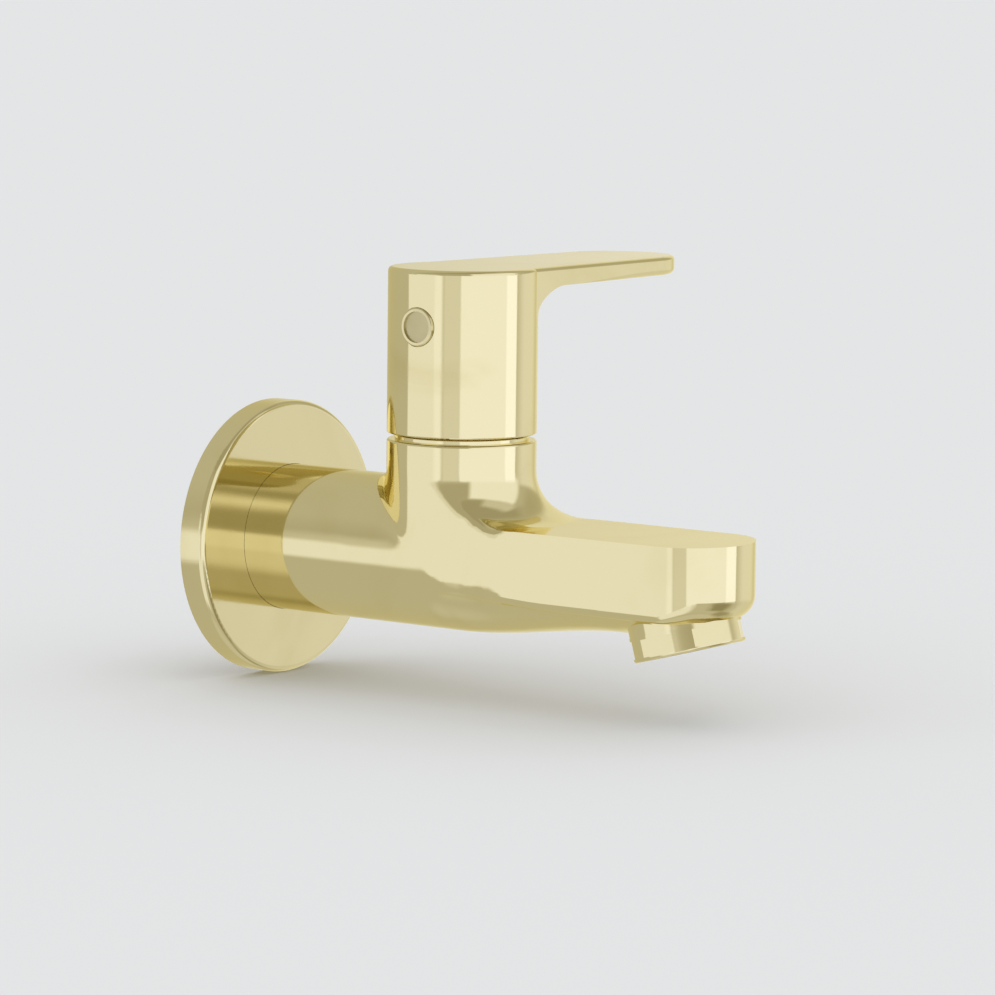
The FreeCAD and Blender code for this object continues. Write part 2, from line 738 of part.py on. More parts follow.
def glide_ring():
    """Plastic ring on top of the neck, just under the handle's rim."""
    edge = d.glide_height / 4
    top = d.neck_top + d.glide_height
    return turned("glide_ring", [
        (d.glide_inner, d.neck_top),
        (d.glide_outer, d.neck_top),
        (d.glide_outer, top - edge, edge),
        (d.glide_outer - edge, top),
        (d.glide_inner, top),
    ], on_valve_axis)


def headwork_seal_ring():
    """Rubber ring that seals the headwork in the top of the neck."""
    thread = d.valve_bore - d.fit_gap
    section = (d.counterbore_radius - thread) / 2 - d.seal_gap
    level = d.neck_top - d.counterbore_depth + section + d.seal_gap
    return seal_ring("headwork_seal_ring", thread + section + d.seal_gap, level, section, on_valve_axis)


def hexagon(sketch, flats, first):
    """Regular hexagon by its width across flats; first is the angle of one corner."""
    corners = []
    for index in range(6):
        angle = math.radians(first + 60.0 * index)
        reach = flats / math.sqrt(3)
        corners.append((reach * math.cos(angle), reach * math.sin(angle)))
    outline(sketch, corners)


def levels():
    """Heights of the valve's stack above the inlet axis."""
    fixed = d.seal_height - d.seat_level
    moving = fixed + d.disc_thick + d.disc_gap
    driver = moving + d.disc_thick + d.seal_gap
    hex_top = d.neck_top + d.collar_height + d.hex_height
    stop = hex_top + d.turn_gap
    clip = stop + d.stop_thick + d.seal_gap
    return fixed, moving, driver, hex_top, stop, clip


def headwork_body():
    """Quarter-turn headwork: sleeve for the discs, thread, collar, hexagon and stop crown."""
    fixed, moving, driver, hex_top, stop, clip = levels()
    thread = d.valve_bore - d.fit_gap
    stem = d.stem_radius + d.fit_gap
    collar_top = hex_top - d.hex_height
    crown_top = hex_top + d.crown_height
    corner = d.hex_flats / math.sqrt(3)
    body = turned("headwork_body", [
        (d.sleeve_bore, d.sleeve_gap - d.seat_level),
        (d.sleeve_radius, d.sleeve_gap - d.seat_level),
        (d.sleeve_radius, d.thread_start),
        (thread, d.thread_start + (thread - d.sleeve_radius)),
        (thread, d.neck_top),
        (d.collar_radius, d.neck_top),
        (d.collar_radius, collar_top),
        (corner, collar_top),
        (corner, hex_top),
        (d.crown_radius, hex_top),
        (d.crown_radius, crown_top),
        (d.crown_bore, crown_top),
        (d.crown_bore, hex_top),
        (stem, hex_top),
        (stem, d.sleeve_roof),
        (d.sleeve_bore, d.sleeve_roof),
    ], on_valve_axis)
    flats = new_sketch(body, "headwork_hexagon", "XY_Plane", hex_top)
    round_outline(flats, d.collar_radius + d.cut_over)
    hexagon(flats, d.hex_flats, 0.0)
    pocket(body, flats, d.hex_height)
    window = new_sketch(body, "sleeve_window", "XY_Plane", d.window_high)
    half = d.window_width / 2
    far = d.sleeve_radius + d.cut_over
    outline(window, [(-half, -far), (half, -far), (half, far), (-half, far)])
    pocket(body, window, d.window_high - d.window_low)
    gap = new_sketch(body, "crown_gap", "XY_Plane", crown_top)
    start = -(d.tab_angle / 2 + d.stop_slack)
    end = d.turn_angle + d.tab_angle / 2 + d.stop_slack
    middle = (start + end) / 2
    reach = d.crown_radius * 2
    outline(gap, [
        (0.0, 0.0),
        (reach * cosine(start), reach * sine(start)),
        (reach * cosine(middle), reach * sine(middle)),
        (reach * cosine(end), reach * sine(end)),
    ])
    pocket(body, gap, d.crown_height)
    return body


def seat_seal():
    """Rubber ring between the fixed disc and the seat in the body."""
    fixed, moving, driver, hex_top, stop, clip = levels()
    return turned("seat_seal", [
        (d.seal_inner, -d.seat_level),
        (d.seal_outer, -d.seat_level),
        (d.seal_outer, fixed),
        (d.seal_inner, fixed),
    ], on_valve_axis)


def ported_disc(name, radius, foot):
    """Ceramic disc with two ports, in front and behind."""
    body = cylinder(name, radius, d.disc_thick, foot, on_valve_axis)
    across = d.port_radius * sine(d.port_angle)
    along = d.port_radius * cosine(d.port_angle)
    for tag, side in (("front", -1.0), ("back", 1.0)):
        port = new_sketch(body, name + "_" + tag, "XY_Plane", foot + d.disc_thick)
        outline(port, [
            (0.0, d.port_web * side),
            (across * side, along * side, d.port_radius),
            (across * -side, along * side),
        ])
        pocket(body, port, d.disc_thick)
    return body


def fixed_disc():
    fixed, moving, driver, hex_top, stop, clip = levels()
    return ported_disc("fixed_disc", d.disc_radius, fixed)


def moving_disc():
    """The disc that turns, with a slot for the driver's tongue."""
    fixed, moving, driver, hex_top, stop, clip = levels()
    body = ported_disc("moving_disc", d.moving_radius, moving)
    slot = new_sketch(body, "disc_slot", "XY_Plane", moving + d.disc_thick)
    half = d.driver_slot / 2
    far = d.moving_radius + d.cut_over
    outline(slot, [(-far, -half), (far, -half), (far, half), (-far, half)])
    pocket(body, slot, d.tongue_height)
    return body


def ring_recess(level):
    """Groove in the stem for a seal, from its lower edge to its upper edge."""
    half = d.ring_section / 2 + d.seal_gap
    foot = d.stem_radius - d.ring_section + d.seal_gap
    return [
        (d.stem_radius, level - half),
        (foot, level - half),
        (foot, level + half),
        (d.stem_radius, level + half),
    ]


def tooth_outline(sketch, gap, foot):
    """One tooth of the spline, grown by a gap; foot is the radius where the outline starts."""
    root_angle = d.tooth_root
    tip_angle = d.tooth_tip
    tip = d.spline_radius + gap
    outline(sketch, [
        (foot * cosine(root_angle), -(foot * sine(root_angle)) - gap),
        (tip * cosine(tip_angle), -(tip * sine(tip_angle)) - gap),
        (tip * cosine(tip_angle), tip * sine(tip_angle) + gap),
        (foot * cosine(root_angle), foot * sine(root_angle) + gap),
    ])


def repeat_round(body, feature, count):
    """Repeat a feature round the body's Z axis."""
    pattern = body.newObject("PartDesign::PolarPattern", feature.Name + "_round")
    pattern.Originals = [feature]
    pattern.Axis = (origin_plane(body, "Z_Axis"), [""])
    pattern.Angle = 360
    pattern.Occurrences = count
    body.Tip = pattern
    return pattern


def spindle():
    """Spindle: driver plate with its tongue, stem with seal grooves, flats and a spline."""
    fixed, moving, driver, hex_top, stop, clip = levels()
    plate_top = driver + d.driver_thick
    washer_foot = d.sleeve_roof - d.washer_thick - d.fit_gap
    clip_top = clip + d.clip_thick + d.seal_gap
    spline_foot = d.insert_foot - d.fit_gap
    drop = d.stem_radius - d.spline_root
    body = turned("spindle", [
        (0.0, driver),
        (d.driver_radius, driver),
        (d.driver_radius, plate_top),
        (d.shoulder_radius, plate_top),
        (d.shoulder_radius, washer_foot),
        (d.stem_radius, washer_foot),
    ] + ring_recess(d.ring_one) + ring_recess(d.ring_two) + [
        (d.stem_radius, clip - d.seal_gap),
        (d.clip_groove, clip - d.seal_gap),
        (d.clip_groove, clip_top),
        (d.stem_radius, clip_top),
        (d.stem_radius, spline_foot - drop),
        (d.spline_root, spline_foot),
        (d.spline_root, d.spline_top),
        (0.0, d.spline_top),
    ], on_valve_axis)
    half = d.driver_slot / 2 - d.seal_gap
    tongue = new_sketch(body, "driver_tongue", "XY_Plane", driver - d.tongue_height + d.fit_gap)
    far = d.tongue_half
    outline(tongue, [(-far, -half), (far, -half), (far, half), (-far, half)])
    pad(body, tongue, d.tongue_height + d.driver_thick / 2)
    for tag, side in (("front", -1.0), ("back", 1.0)):
        port = new_sketch(body, "driver_port_" + tag, "XY_Plane", washer_foot)
        near = d.driver_slot * side
        out = (d.driver_radius + d.cut_over) * side
        reach = d.port_radius
        outline(port, [(-reach, near), (reach, near), (reach, out), (-reach, out)])
        pocket(body, port, washer_foot - driver)
    flats = new_sketch(body, "stem_flats", "XY_Plane", spline_foot)
    edge = d.stem_flats / 2
    wide = d.stem_radius + d.cut_over
    for side in (-1.0, 1.0):
        near = edge * side
        outer = wide * side
        outline(flats, [(near, -wide), (outer, -wide), (outer, wide), (near, wide)])
    pocket(body, flats, spline_foot - stop)
    tooth = new_sketch(body, "spline_tooth", "XY_Plane", spline_foot)
    tooth_outline(tooth, 0.0, d.spline_root - d.turn_gap)
    teeth = pad(body, tooth, d.spline_top - spline_foot)
    doc.recompute()
    repeat_round(body, teeth, TOOTH_COUNT)
    return body


def spindle_seals():
    section = d.ring_section / 2 - d.seal_gap
    middle = d.stem_radius - section
    return [
        seal_ring("spindle_seal_lower", middle, d.ring_one, section, on_valve_axis),
        seal_ring("spindle_seal_upper", middle, d.ring_two, section, on_valve_axis),
    ]


def thrust_washer():
    """Slippery washer under the sleeve's roof; the spindle's shoulder runs just under it."""
    foot = d.sleeve_roof - d.washer_thick
    inner = d.stem_radius + d.fit_gap * 2
    outer = d.sleeve_bore - d.fit_gap
    return turned("thrust_washer", [
        (inner, foot),
        (outer, foot),
        (outer, d.sleeve_roof),
        (inner, d.sleeve_roof),
    ], on_valve_axis)


def stop_washer():
    """Washer on the spindle's flats; its tab meets the crown at each end of the quarter turn."""
    fixed, moving, driver, hex_top, stop, clip = levels()
    body = cylinder("stop_washer", d.stop_radius, d.stop_thick, stop, on_valve_axis)
    half = d.tab_angle / 2
    inner = d.stop_radius - d.turn_gap
    outer = d.crown_radius
    tab = new_sketch(body, "stop_tab", "XY_Plane", stop)
    outline(tab, [
        (inner * sine(half), inner * cosine(half)),
        (outer * sine(half), outer * cosine(half), outer),
        (outer * -sine(half), outer * cosine(half)),
        (inner * -sine(half), inner * cosine(half)),
    ])
    pad(body, tab, d.stop_thick)
    hole = new_sketch(body, "stop_hole", "XY_Plane", stop + d.stop_thick)
    radius = d.stem_radius + d.seal_gap
    flat = d.stem_flats / 2 + d.seal_gap
    rise = root(radius * radius - flat * flat)
    outline(hole, [
        (flat, -rise),
        (flat, rise, radius),
        (-flat, rise),
        (-flat, -rise, radius),
    ])
    pocket(body, hole, d.stop_thick)
    return body


def spindle_clip():
    """Open ring in the spindle's groove that keeps the spindle from dropping."""
    fixed, moving, driver, hex_top, stop, clip = levels()
    body = cylinder("spindle_clip", d.clip_radius, d.clip_thick, clip, on_valve_axis)
    hole = new_sketch(body, "clip_hole", "XY_Plane", clip + d.clip_thick)
    round_outline(hole, d.clip_groove + d.seal_gap)
    pocket(body, hole, d.clip_thick)
    mouth = new_sketch(body, "clip_opening", "XY_Plane", clip + d.clip_thick)
    half = d.clip_mouth / 2
    out = d.clip_radius + d.cut_over
    outline(mouth, [(0.0, -half), (out, -half), (out, half), (0.0, half)])
    pocket(body, mouth, d.clip_thick)
    return body


def lever_wall():
    """Outward direction of a lever wall in plan, and the wall's distance from the valve axis."""
    centre = d.lever_reach - d.lever_tip
    square = centre * centre + d.lever_root * d.lever_root
    along = root(square - d.lever_tip * d.lever_tip)
    out_x = (along * d.lever_root - centre * d.lever_tip) / square
    out_y = (along * centre + d.lever_root * d.lever_tip) / square
    return out_x, out_y, d.lever_root * out_y


def lever_outline(sketch):
    """Plan of the handle: a round body, two walls that draw together and a rounded tip."""
    wide = d.handle_radius
    out_x, out_y, apart = lever_wall()
    run = root(wide * wide - apart * apart)
    leave_x = apart * out_x + run * out_y
    leave_y = apart * out_y - run * out_x
    end_x = d.lever_reach - d.lever_tip + d.lever_tip * out_x
    end_y = d.lever_tip * out_y
    outline(sketch, [
        (leave_x, leave_y, wide),
        (-wide, 0.0, wide),
        (leave_x, -leave_y),
        (end_x, -end_y, d.lever_tip),
        (d.lever_reach, 0.0, d.lever_tip),
        (end_x, end_y),
    ])


def block_beyond(name, start):
    """Block that holds the lever from a distance along it outwards."""
    block = doc.addObject("Part::Box", name)
    bind(block, "Length", d.lever_reach)
    bind(block, "Width", d.handle_radius * 4)
    bind(block, "Height", d.handle_top * 2)
    bind(block, "Placement.Base.x", start)
    bind(block, "Placement.Base.y", -d.neck_reach - d.handle_radius * 2)
    return block


def combined(kind, name, base, tool):
    """Cut, common part or union of two solids."""
    result = doc.addObject(kind, name)
    result.Base = base
    result.Tool = tool
    return result


def lower_round_at(point):
    """Radius of the round under the lever: nothing much at its start, and largest at the tip."""
    if abs(point.x - d.under_start.number) < CLOSE:
        return d.under_fade.number
    if abs(point.y + d.neck_reach.number) < CLOSE:
        return d.under_tip.number
    return d.under_round.number


def lower_round(lever):
    """Round along the lever's lower edge."""
    rounded = doc.addObject("Part::Fillet", "lower_round")
    rounded.Base = lever
    edges = []
    for index, edge in enumerate(lever.Shape.Edges, start=1):
        points = edge.discretize(5)
        across = abs(points[0].x - points[-1].x) < CLOSE
        level = all(abs(p.z - d.lever_under.number) < CLOSE for p in points)
        if across or not level:
            continue
        edges.append((index, lower_round_at(points[0]), lower_round_at(points[-1])))
    rounded.Edges = edges
    return rounded


def lever_rounds(body):
    """Round the lever's lower edge on a block of its own and join it to the rest."""
    outer = block_beyond("outer_block", d.under_start)
    tip = block_beyond("tip_block", d.under_full)
    back = combined("Part::Cut", "lever_back", body, outer)
    front = combined("Part::Common", "lever_front", body, outer)
    near = combined("Part::Cut", "lever_near", front, tip)
    far = combined("Part::Common", "lever_far", front, tip)
    lever = combined("Part::Fuse", "lever_sharp", near, far)
    doc.recompute()
    joined = combined("Part::Fuse", "handle_rounded", back, lower_round(lever))
    joined.Refine = True
    joined.Label = "handle"
    return joined


def handle():
    """Lever handle: round body, hollow from below, with a level lever along its flat top."""
    body = new_body("handle_blank")
    on_valve_axis(body)
    plan = new_sketch(body, "handle_plan", "XY_Plane", d.handle_base)
    lever_outline(plan)
    pad(body, plan, d.handle_top - d.handle_base)
    far = d.lever_reach * 2
    below = d.handle_base - d.cut_over
    groove(body, "lever_underside", [
        (d.handle_radius, below),
        (far, below),
        (far, d.lever_under),
        (d.handle_radius + d.lever_fillet, d.lever_under, d.lever_fillet),
        (d.handle_radius, d.lever_under - d.lever_fillet),
    ])

    hollow = new_sketch(body, "handle_hollow", "XY_Plane", d.hollow_top)
    round_outline(hollow, d.handle_radius - d.handle_wall)
    pocket(body, hollow, d.hollow_top - d.handle_base)
    insert_top = d.insert_foot + d.insert_height + d.seal_gap
    bore = new_sketch(body, "insert_bore", "XY_Plane", insert_top)
    round_outline(bore, d.insert_radius + d.seal_gap)
    pocket(body, bore, insert_top - d.hollow_top)

    seat = d.handle_radius - d.button_seat
    plug = seat - d.plug_length - d.turn_gap
    for name, radius, start, length in (
            ("screw_hole", d.screw_radius + d.fit_gap, d.screw_tip, d.handle_radius),
            ("plug_hole", d.button_plug + d.fit_gap, plug, d.handle_radius),
            ("button_spot", d.button_radius + d.fit_gap, seat, d.handle_radius)):
        sketch = new_sketch(body, name, "YZ_Plane", -start)
        round_outline(sketch, radius, 0.0, d.screw_level)
        pocket(body, sketch, length)

    def at_foot(edge):
        points = edge.discretize(5)
        return all(abs(p.z - d.handle_base.number) < CLOSE for p in points) and \
            all(math.hypot(p.x, p.y) > d.handle_radius.number - CLOSE for p in points)

    def at_top(edge):
        return all(abs(p.z - d.handle_top.number) < CLOSE for p in edge.discretize(5))

    edge_fillet(body, "handle_rim", d.handle_edge, at_foot)
    edge_fillet(body, "handle_upper", d.lever_round, at_top)
    doc.recompute()
    return lever_rounds(body)


def handle_insert():
    """Splined bush in the handle, with a cross hole for the grub screw."""
    bore = d.spline_root + d.fit_gap
    top = d.insert_foot + d.insert_height
    body = turned("handle_insert", [
        (bore, d.insert_foot),
        (d.insert_radius, d.insert_foot),
        (d.insert_radius, top),
        (bore, top),
    ], on_valve_axis)
    hole = new_sketch(body, "insert_cross", "YZ_Plane", -d.screw_tip)
    round_outline(hole, d.screw_radius + d.fit_gap, 0.0, d.screw_level)
    pocket(body, hole, d.insert_radius)
    tooth = new_sketch(body, "insert_tooth", "XY_Plane", top)
    tooth_outline(tooth, d.fit_gap, d.spline_root - d.turn_gap)
    teeth = pocket(body, tooth, d.insert_height)
    repeat_round(body, teeth, TOOTH_COUNT)
    return body


def on_screw_axis(item):
    """Local Z becomes the distance from the valve axis towards the index button."""
    turn = FreeCAD.Rotation(FreeCAD.Vector(0, 1, 0), -90)
    item.Placement = FreeCAD.Placement(FreeCAD.Vector(), turn)
    bind(item, "Placement.Base.y", -d.neck_reach)
    bind(item, "Placement.Base.z", d.screw_level)


def grub_screw():
    """Grub screw that clamps the handle on the spindle."""
    end = d.screw_tip + d.screw_length
    body = turned("grub_screw", [
        (0.0, d.screw_tip),
        (d.screw_radius - d.screw_point, d.screw_tip),
        (d.screw_radius, d.screw_tip + d.screw_point),
        (d.screw_radius, end),
        (0.0, end),
    ], on_screw_axis)
    socket = new_sketch(body, "screw_socket", "XY_Plane", end)
    hexagon(socket, d.screw_socket, 0.0)
    pocket(body, socket, d.socket_sink)
    return body


def index_button():
    """Round plug that hides the grub screw, with a shallow recessed face."""
    seat = d.handle_radius - d.button_seat
    out = d.handle_radius + d.button_proud
    return turned("index_button", [
        (0.0, seat - d.plug_length),
        (d.button_plug, seat - d.plug_length),
        (d.button_plug, seat),
        (d.button_radius, seat),
        (d.button_radius, out - d.button_edge, d.button_edge),
        (d.button_radius - d.button_edge, out),
        (d.button_face, out),
        (d.button_face, out - d.button_dish),
        (0.0, out - d.button_dish),
    ], on_screw_axis)


def aerator_housing():
    """Screwed housing of the aerator, with wrench flats round it and a lip at its mouth."""
    lower = -d.outlet_height
    thread = d.socket_radius - d.fit_gap
    body = turned("aerator_housing", [
        (d.housing_lip, lower),
        (d.outlet_radius - d.outlet_round, lower, d.outlet_round),
        (d.outlet_radius, lower + d.outlet_round),
        (d.outlet_radius, 0.0),
        (thread, 0.0),
        (thread, d.screwed_height),
        (d.housing_bore, d.screwed_height),
        (d.housing_bore, lower + d.lip_height),
        (d.housing_lip, lower + d.lip_height),
    ], on_outlet_axis)
    flats = new_sketch(body, "housing_flats", "XY_Plane", -d.flat_high)
    round_outline(flats, d.outlet_radius + d.cut_over * 2)
    hexagon(flats, d.outlet_flats, d.flats_turn.number)
    pocket(body, flats, d.outlet_height - d.flat_high - d.flat_low)
    return body


def aerator_seal():
    """Flat rubber washer between the housing and the top of its socket."""
    outer = d.socket_radius - d.fit_gap
    return turned("aerator_seal", [
        (outer - d.seal_width, d.screwed_height),
        (outer, d.screwed_height),
        (outer, d.socket_depth),
        (outer - d.seal_width, d.socket_depth),
    ], on_outlet_axis)


def insert_levels():
    """Heights in the aerator, from the top of the lip up: grid, core, jets and filter."""
    grid = d.lip_height - d.outlet_height
    core = grid + d.grid_height
    jets = core + d.core_height
    strainer = jets + d.jet_height
    return grid, core, jets, strainer


def aerator_grid():
    """Outlet grid with square holes."""
    grid, core, jets, strainer = insert_levels()
    body = cylinder("aerator_grid", d.housing_bore - d.fit_gap, d.grid_height, grid, on_outlet_axis)
    half = d.grid_hole / 2
    holes = new_sketch(body, "grid_holes", "XY_Plane", core)
    for row in range(GRID_COUNT):
        for column in range(GRID_COUNT):
            x = d.grid_pitch * (column - (GRID_COUNT - 1) / 2)
            y = d.grid_pitch * (row - (GRID_COUNT - 1) / 2)
            corners = [(x - half, y - half), (x + half, y - half)]
            corners += [(x + half, y + half), (x - half, y + half)]
            outline(holes, corners)
    pocket(body, holes, d.grid_height)
    return body


def aerator_core():
    """Ring in which air is mixed into the water."""
    grid, core, jets, strainer = insert_levels()
    outer = d.housing_bore - d.fit_gap
    return turned("aerator_core", [
        (outer - d.core_wall, core),
        (outer, core),
        (outer, jets),
        (outer - d.core_wall, jets),
    ], on_outlet_axis)


def aerator_jets():
    """Jet plate with a circle of small holes."""
    grid, core, jets, strainer = insert_levels()
    body = cylinder("aerator_jets", d.housing_bore - d.fit_gap, d.jet_height, jets, on_outlet_axis)
    hole = new_sketch(body, "jet", "XY_Plane", strainer)
    round_outline(hole, d.jet_hole, d.jet_circle, 0.0)
    drilled = pocket(body, hole, d.jet_height)
    repeat_round(body, drilled, JET_COUNT)
    return body


def aerator_filter():
    """Domed strainer over the jet plate."""
    grid, core, jets, strainer = insert_levels()
    foot = d.housing_bore - d.fit_gap
    rise = d.filter_height - d.filter_wall
    dome = (foot * foot + rise * rise) / (rise * 2)
    return turned("aerator_filter", [
        (0.0, strainer + rise),
        (0.0, strainer + d.filter_height, -dome),
        (foot, strainer + d.filter_wall),
        (foot, strainer, dome),
    ], on_outlet_axis)


PARTS = [
    tap_body(),
    wall_flange(),
    flange_seal_ring(),
    glide_ring(),
    headwork_body(),
    headwork_seal_ring(),
    seat_seal(),
    fixed_disc(),
    moving_disc(),
    spindle(),
    *spindle_seals(),
    thrust_washer(),
    stop_washer(),
    spindle_clip(),
    handle(),
    handle_insert(),
    grub_screw(),
    index_button(),
    aerator_housing(),
    aerator_seal(),
    aerator_grid(),
    aerator_core(),
    aerator_jets(),
    aerator_filter(),
]

doc.recompute()


def check(items):
    """Stop before anything is written if an object failed or a shape is empty or not valid."""
    troubles = []
    for item in doc.Objects:
        if "Invalid" in item.State or "Error" in item.State:
            troubles.append("%s %s" % (item.Name, item.getStatusString()))
    for item in items:
        shape = item.Shape
        if shape.isNull():
            troubles.append(item.Label + " is empty")
            continue
        print("%-20s solids %d, volume %.1f" % (item.Label, len(shape.Solids), shape.Volume))
        if not shape.isValid() or len(shape.Solids) != 1:
            troubles.append("%s valid %s solids %d" % (item.Label, shape.isValid(), len(shape.Solids)))
    if troubles:
        raise ValueError("; ".join(troubles))


check(PARTS)
os.makedirs("parts", exist_ok=True)
for part in PARTS:
    part.Shape.exportStep("parts/%s.step" % part.Label)
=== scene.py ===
# %% [markdown]
# # Bib tap: the looks of a wall tap with a lever handle
# A bib tap sticks out of a wall. Water comes in through the thread at its back, a quarter turn
# of the lever opens two ceramic discs, and the water leaves through the aerator under the spout.
# The solids come from the part's construction file, so their places and sizes are fixed. This
# lesson gives them their finishes, adds the details that are too fine for the construction file,
# and lights and frames the whole.

# %% Load the frame
import math
import bmesh
import bpy
import numpy as np
from mathutils import Matrix, Vector
from mathutils.bvhtree import BVHTree
from mathutils.interpolate import poly_3d_calc


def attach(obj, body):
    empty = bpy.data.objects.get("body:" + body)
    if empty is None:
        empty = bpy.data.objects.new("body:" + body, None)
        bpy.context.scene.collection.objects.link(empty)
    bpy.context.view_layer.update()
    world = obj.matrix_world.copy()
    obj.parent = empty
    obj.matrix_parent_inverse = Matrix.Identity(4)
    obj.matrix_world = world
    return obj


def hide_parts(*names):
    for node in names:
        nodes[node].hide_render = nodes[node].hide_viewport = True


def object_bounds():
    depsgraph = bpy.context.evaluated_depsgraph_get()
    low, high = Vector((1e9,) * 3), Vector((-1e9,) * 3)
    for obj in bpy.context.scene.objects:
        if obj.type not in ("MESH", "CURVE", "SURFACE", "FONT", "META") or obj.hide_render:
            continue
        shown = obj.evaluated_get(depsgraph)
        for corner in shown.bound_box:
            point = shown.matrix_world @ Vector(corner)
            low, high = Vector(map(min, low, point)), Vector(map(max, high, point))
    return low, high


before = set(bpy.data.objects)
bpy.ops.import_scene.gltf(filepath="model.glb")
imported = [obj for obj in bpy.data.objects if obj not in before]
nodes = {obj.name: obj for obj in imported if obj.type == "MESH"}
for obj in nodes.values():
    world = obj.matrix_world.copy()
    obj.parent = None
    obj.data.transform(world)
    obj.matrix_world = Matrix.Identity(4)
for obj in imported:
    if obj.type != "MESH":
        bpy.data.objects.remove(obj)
cad_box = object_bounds()
print("box in mm:", [[round(v * 1000, 1) for v in corner] for corner in cad_box])

# %% [markdown]
# ## The camera
# The tap is seen from its left and a little from above, through a long lens, so its far and near
# ends look almost equally large. The camera could be aimed by hand. Here it is set from its angle
# round the tap, its height angle, a slight roll and its distance, because those few numbers can
# be checked one by one. The camera looks along its own minus Z axis, so its Z axis is the
# direction back towards the viewer.

# %% Camera
VIEW_TURN = math.radians(-53.284)
VIEW_HEIGHT = math.radians(6.828)
VIEW_ROLL = math.radians(0.656)
VIEW_DISTANCE = 0.99273
VIEW_SIDE = 0.05033
VIEW_DOWN = 0.00799
PHOTO_SIDE = 995
FOCAL_PIXELS = 4500


def place_camera():
    """A long-lens camera on the left of the tap, slightly above it."""
    back = Vector((math.sin(VIEW_TURN) * math.cos(VIEW_HEIGHT),
                   -math.cos(VIEW_TURN) * math.cos(VIEW_HEIGHT),
                   math.sin(VIEW_HEIGHT)))
    level = Vector((math.cos(VIEW_TURN), math.sin(VIEW_TURN), 0.0))
    above = back.cross(level)
    right = level * math.cos(VIEW_ROLL) + above * math.sin(VIEW_ROLL)
    up = above * math.cos(VIEW_ROLL) - level * math.sin(VIEW_ROLL)
    data = bpy.data.cameras.new("camera")
    data.sensor_width = 36.0
    data.lens = data.sensor_width * FOCAL_PIXELS / PHOTO_SIDE
    data.clip_start = 0.05
    data.clip_end = 100.0
    camera = bpy.data.objects.new("camera", data)
    turn = Matrix((right, up, back)).transposed().to_4x4()
    place = back * VIEW_DISTANCE + right * VIEW_SIDE + up * VIEW_DOWN
    camera.matrix_world = Matrix.Translation(place) @ turn
    bpy.context.scene.collection.objects.link(camera)
    bpy.context.scene.camera = camera
    return camera


camera = place_camera()
print("camera at", [round(v, 4) for v in camera.location], "lens", round(camera.data.lens, 1))

# %% [markdown]
# ## Helpers for node trees
# A node tree is easier to read when each node is one line. `add` makes a node and sets its
# values, and `new_group` makes a node group with named inputs and outputs. In this version of
# Blender a group's sockets are made on its interface.

# %% Node helpers
def add(tree, kind, label=None, **values):
    """One node in a tree, with its properties set."""
    node = tree.nodes.new(kind)
    if label:
        node.label = label
    for key, value in values.items():
        setattr(node, key, value)
    return node


def new_group(name, kind, inputs, outputs):
    """A node group with named sockets; an input is (name, type, default value)."""
    group = bpy.data.node_groups.new(name, kind)
    for label, socket, value in inputs:
        item = group.interface.new_socket(label, in_out="INPUT", socket_type=socket)
        if value is not None:
            item.default_value = value
    for label, socket in outputs:
        group.interface.new_socket(label, in_out="OUTPUT", socket_type=socket)
    start = add(group, "NodeGroupInput")
    end = add(group, "NodeGroupOutput")
    return group, start, end


def join(tree, source, target):
    """A wire from an output socket to an input socket."""
    tree.links.new(source, target)


print("node helpers ready")

# %% [markdown]
# ## Polished metal is never quite even
# The real tap is brass that has been polished and coated, so it mirrors its surroundings. It still
# has a slight waviness left by the polishing wheel, very fine hairline marks, and faint smears
# where wet hands touch it. An image could carry these marks, but a procedural group needs no
# image and works at any distance. The same group serves every metal here with other values: it
# gives a height for the bump, a mask of the marks for the roughness and a mask of the smears.

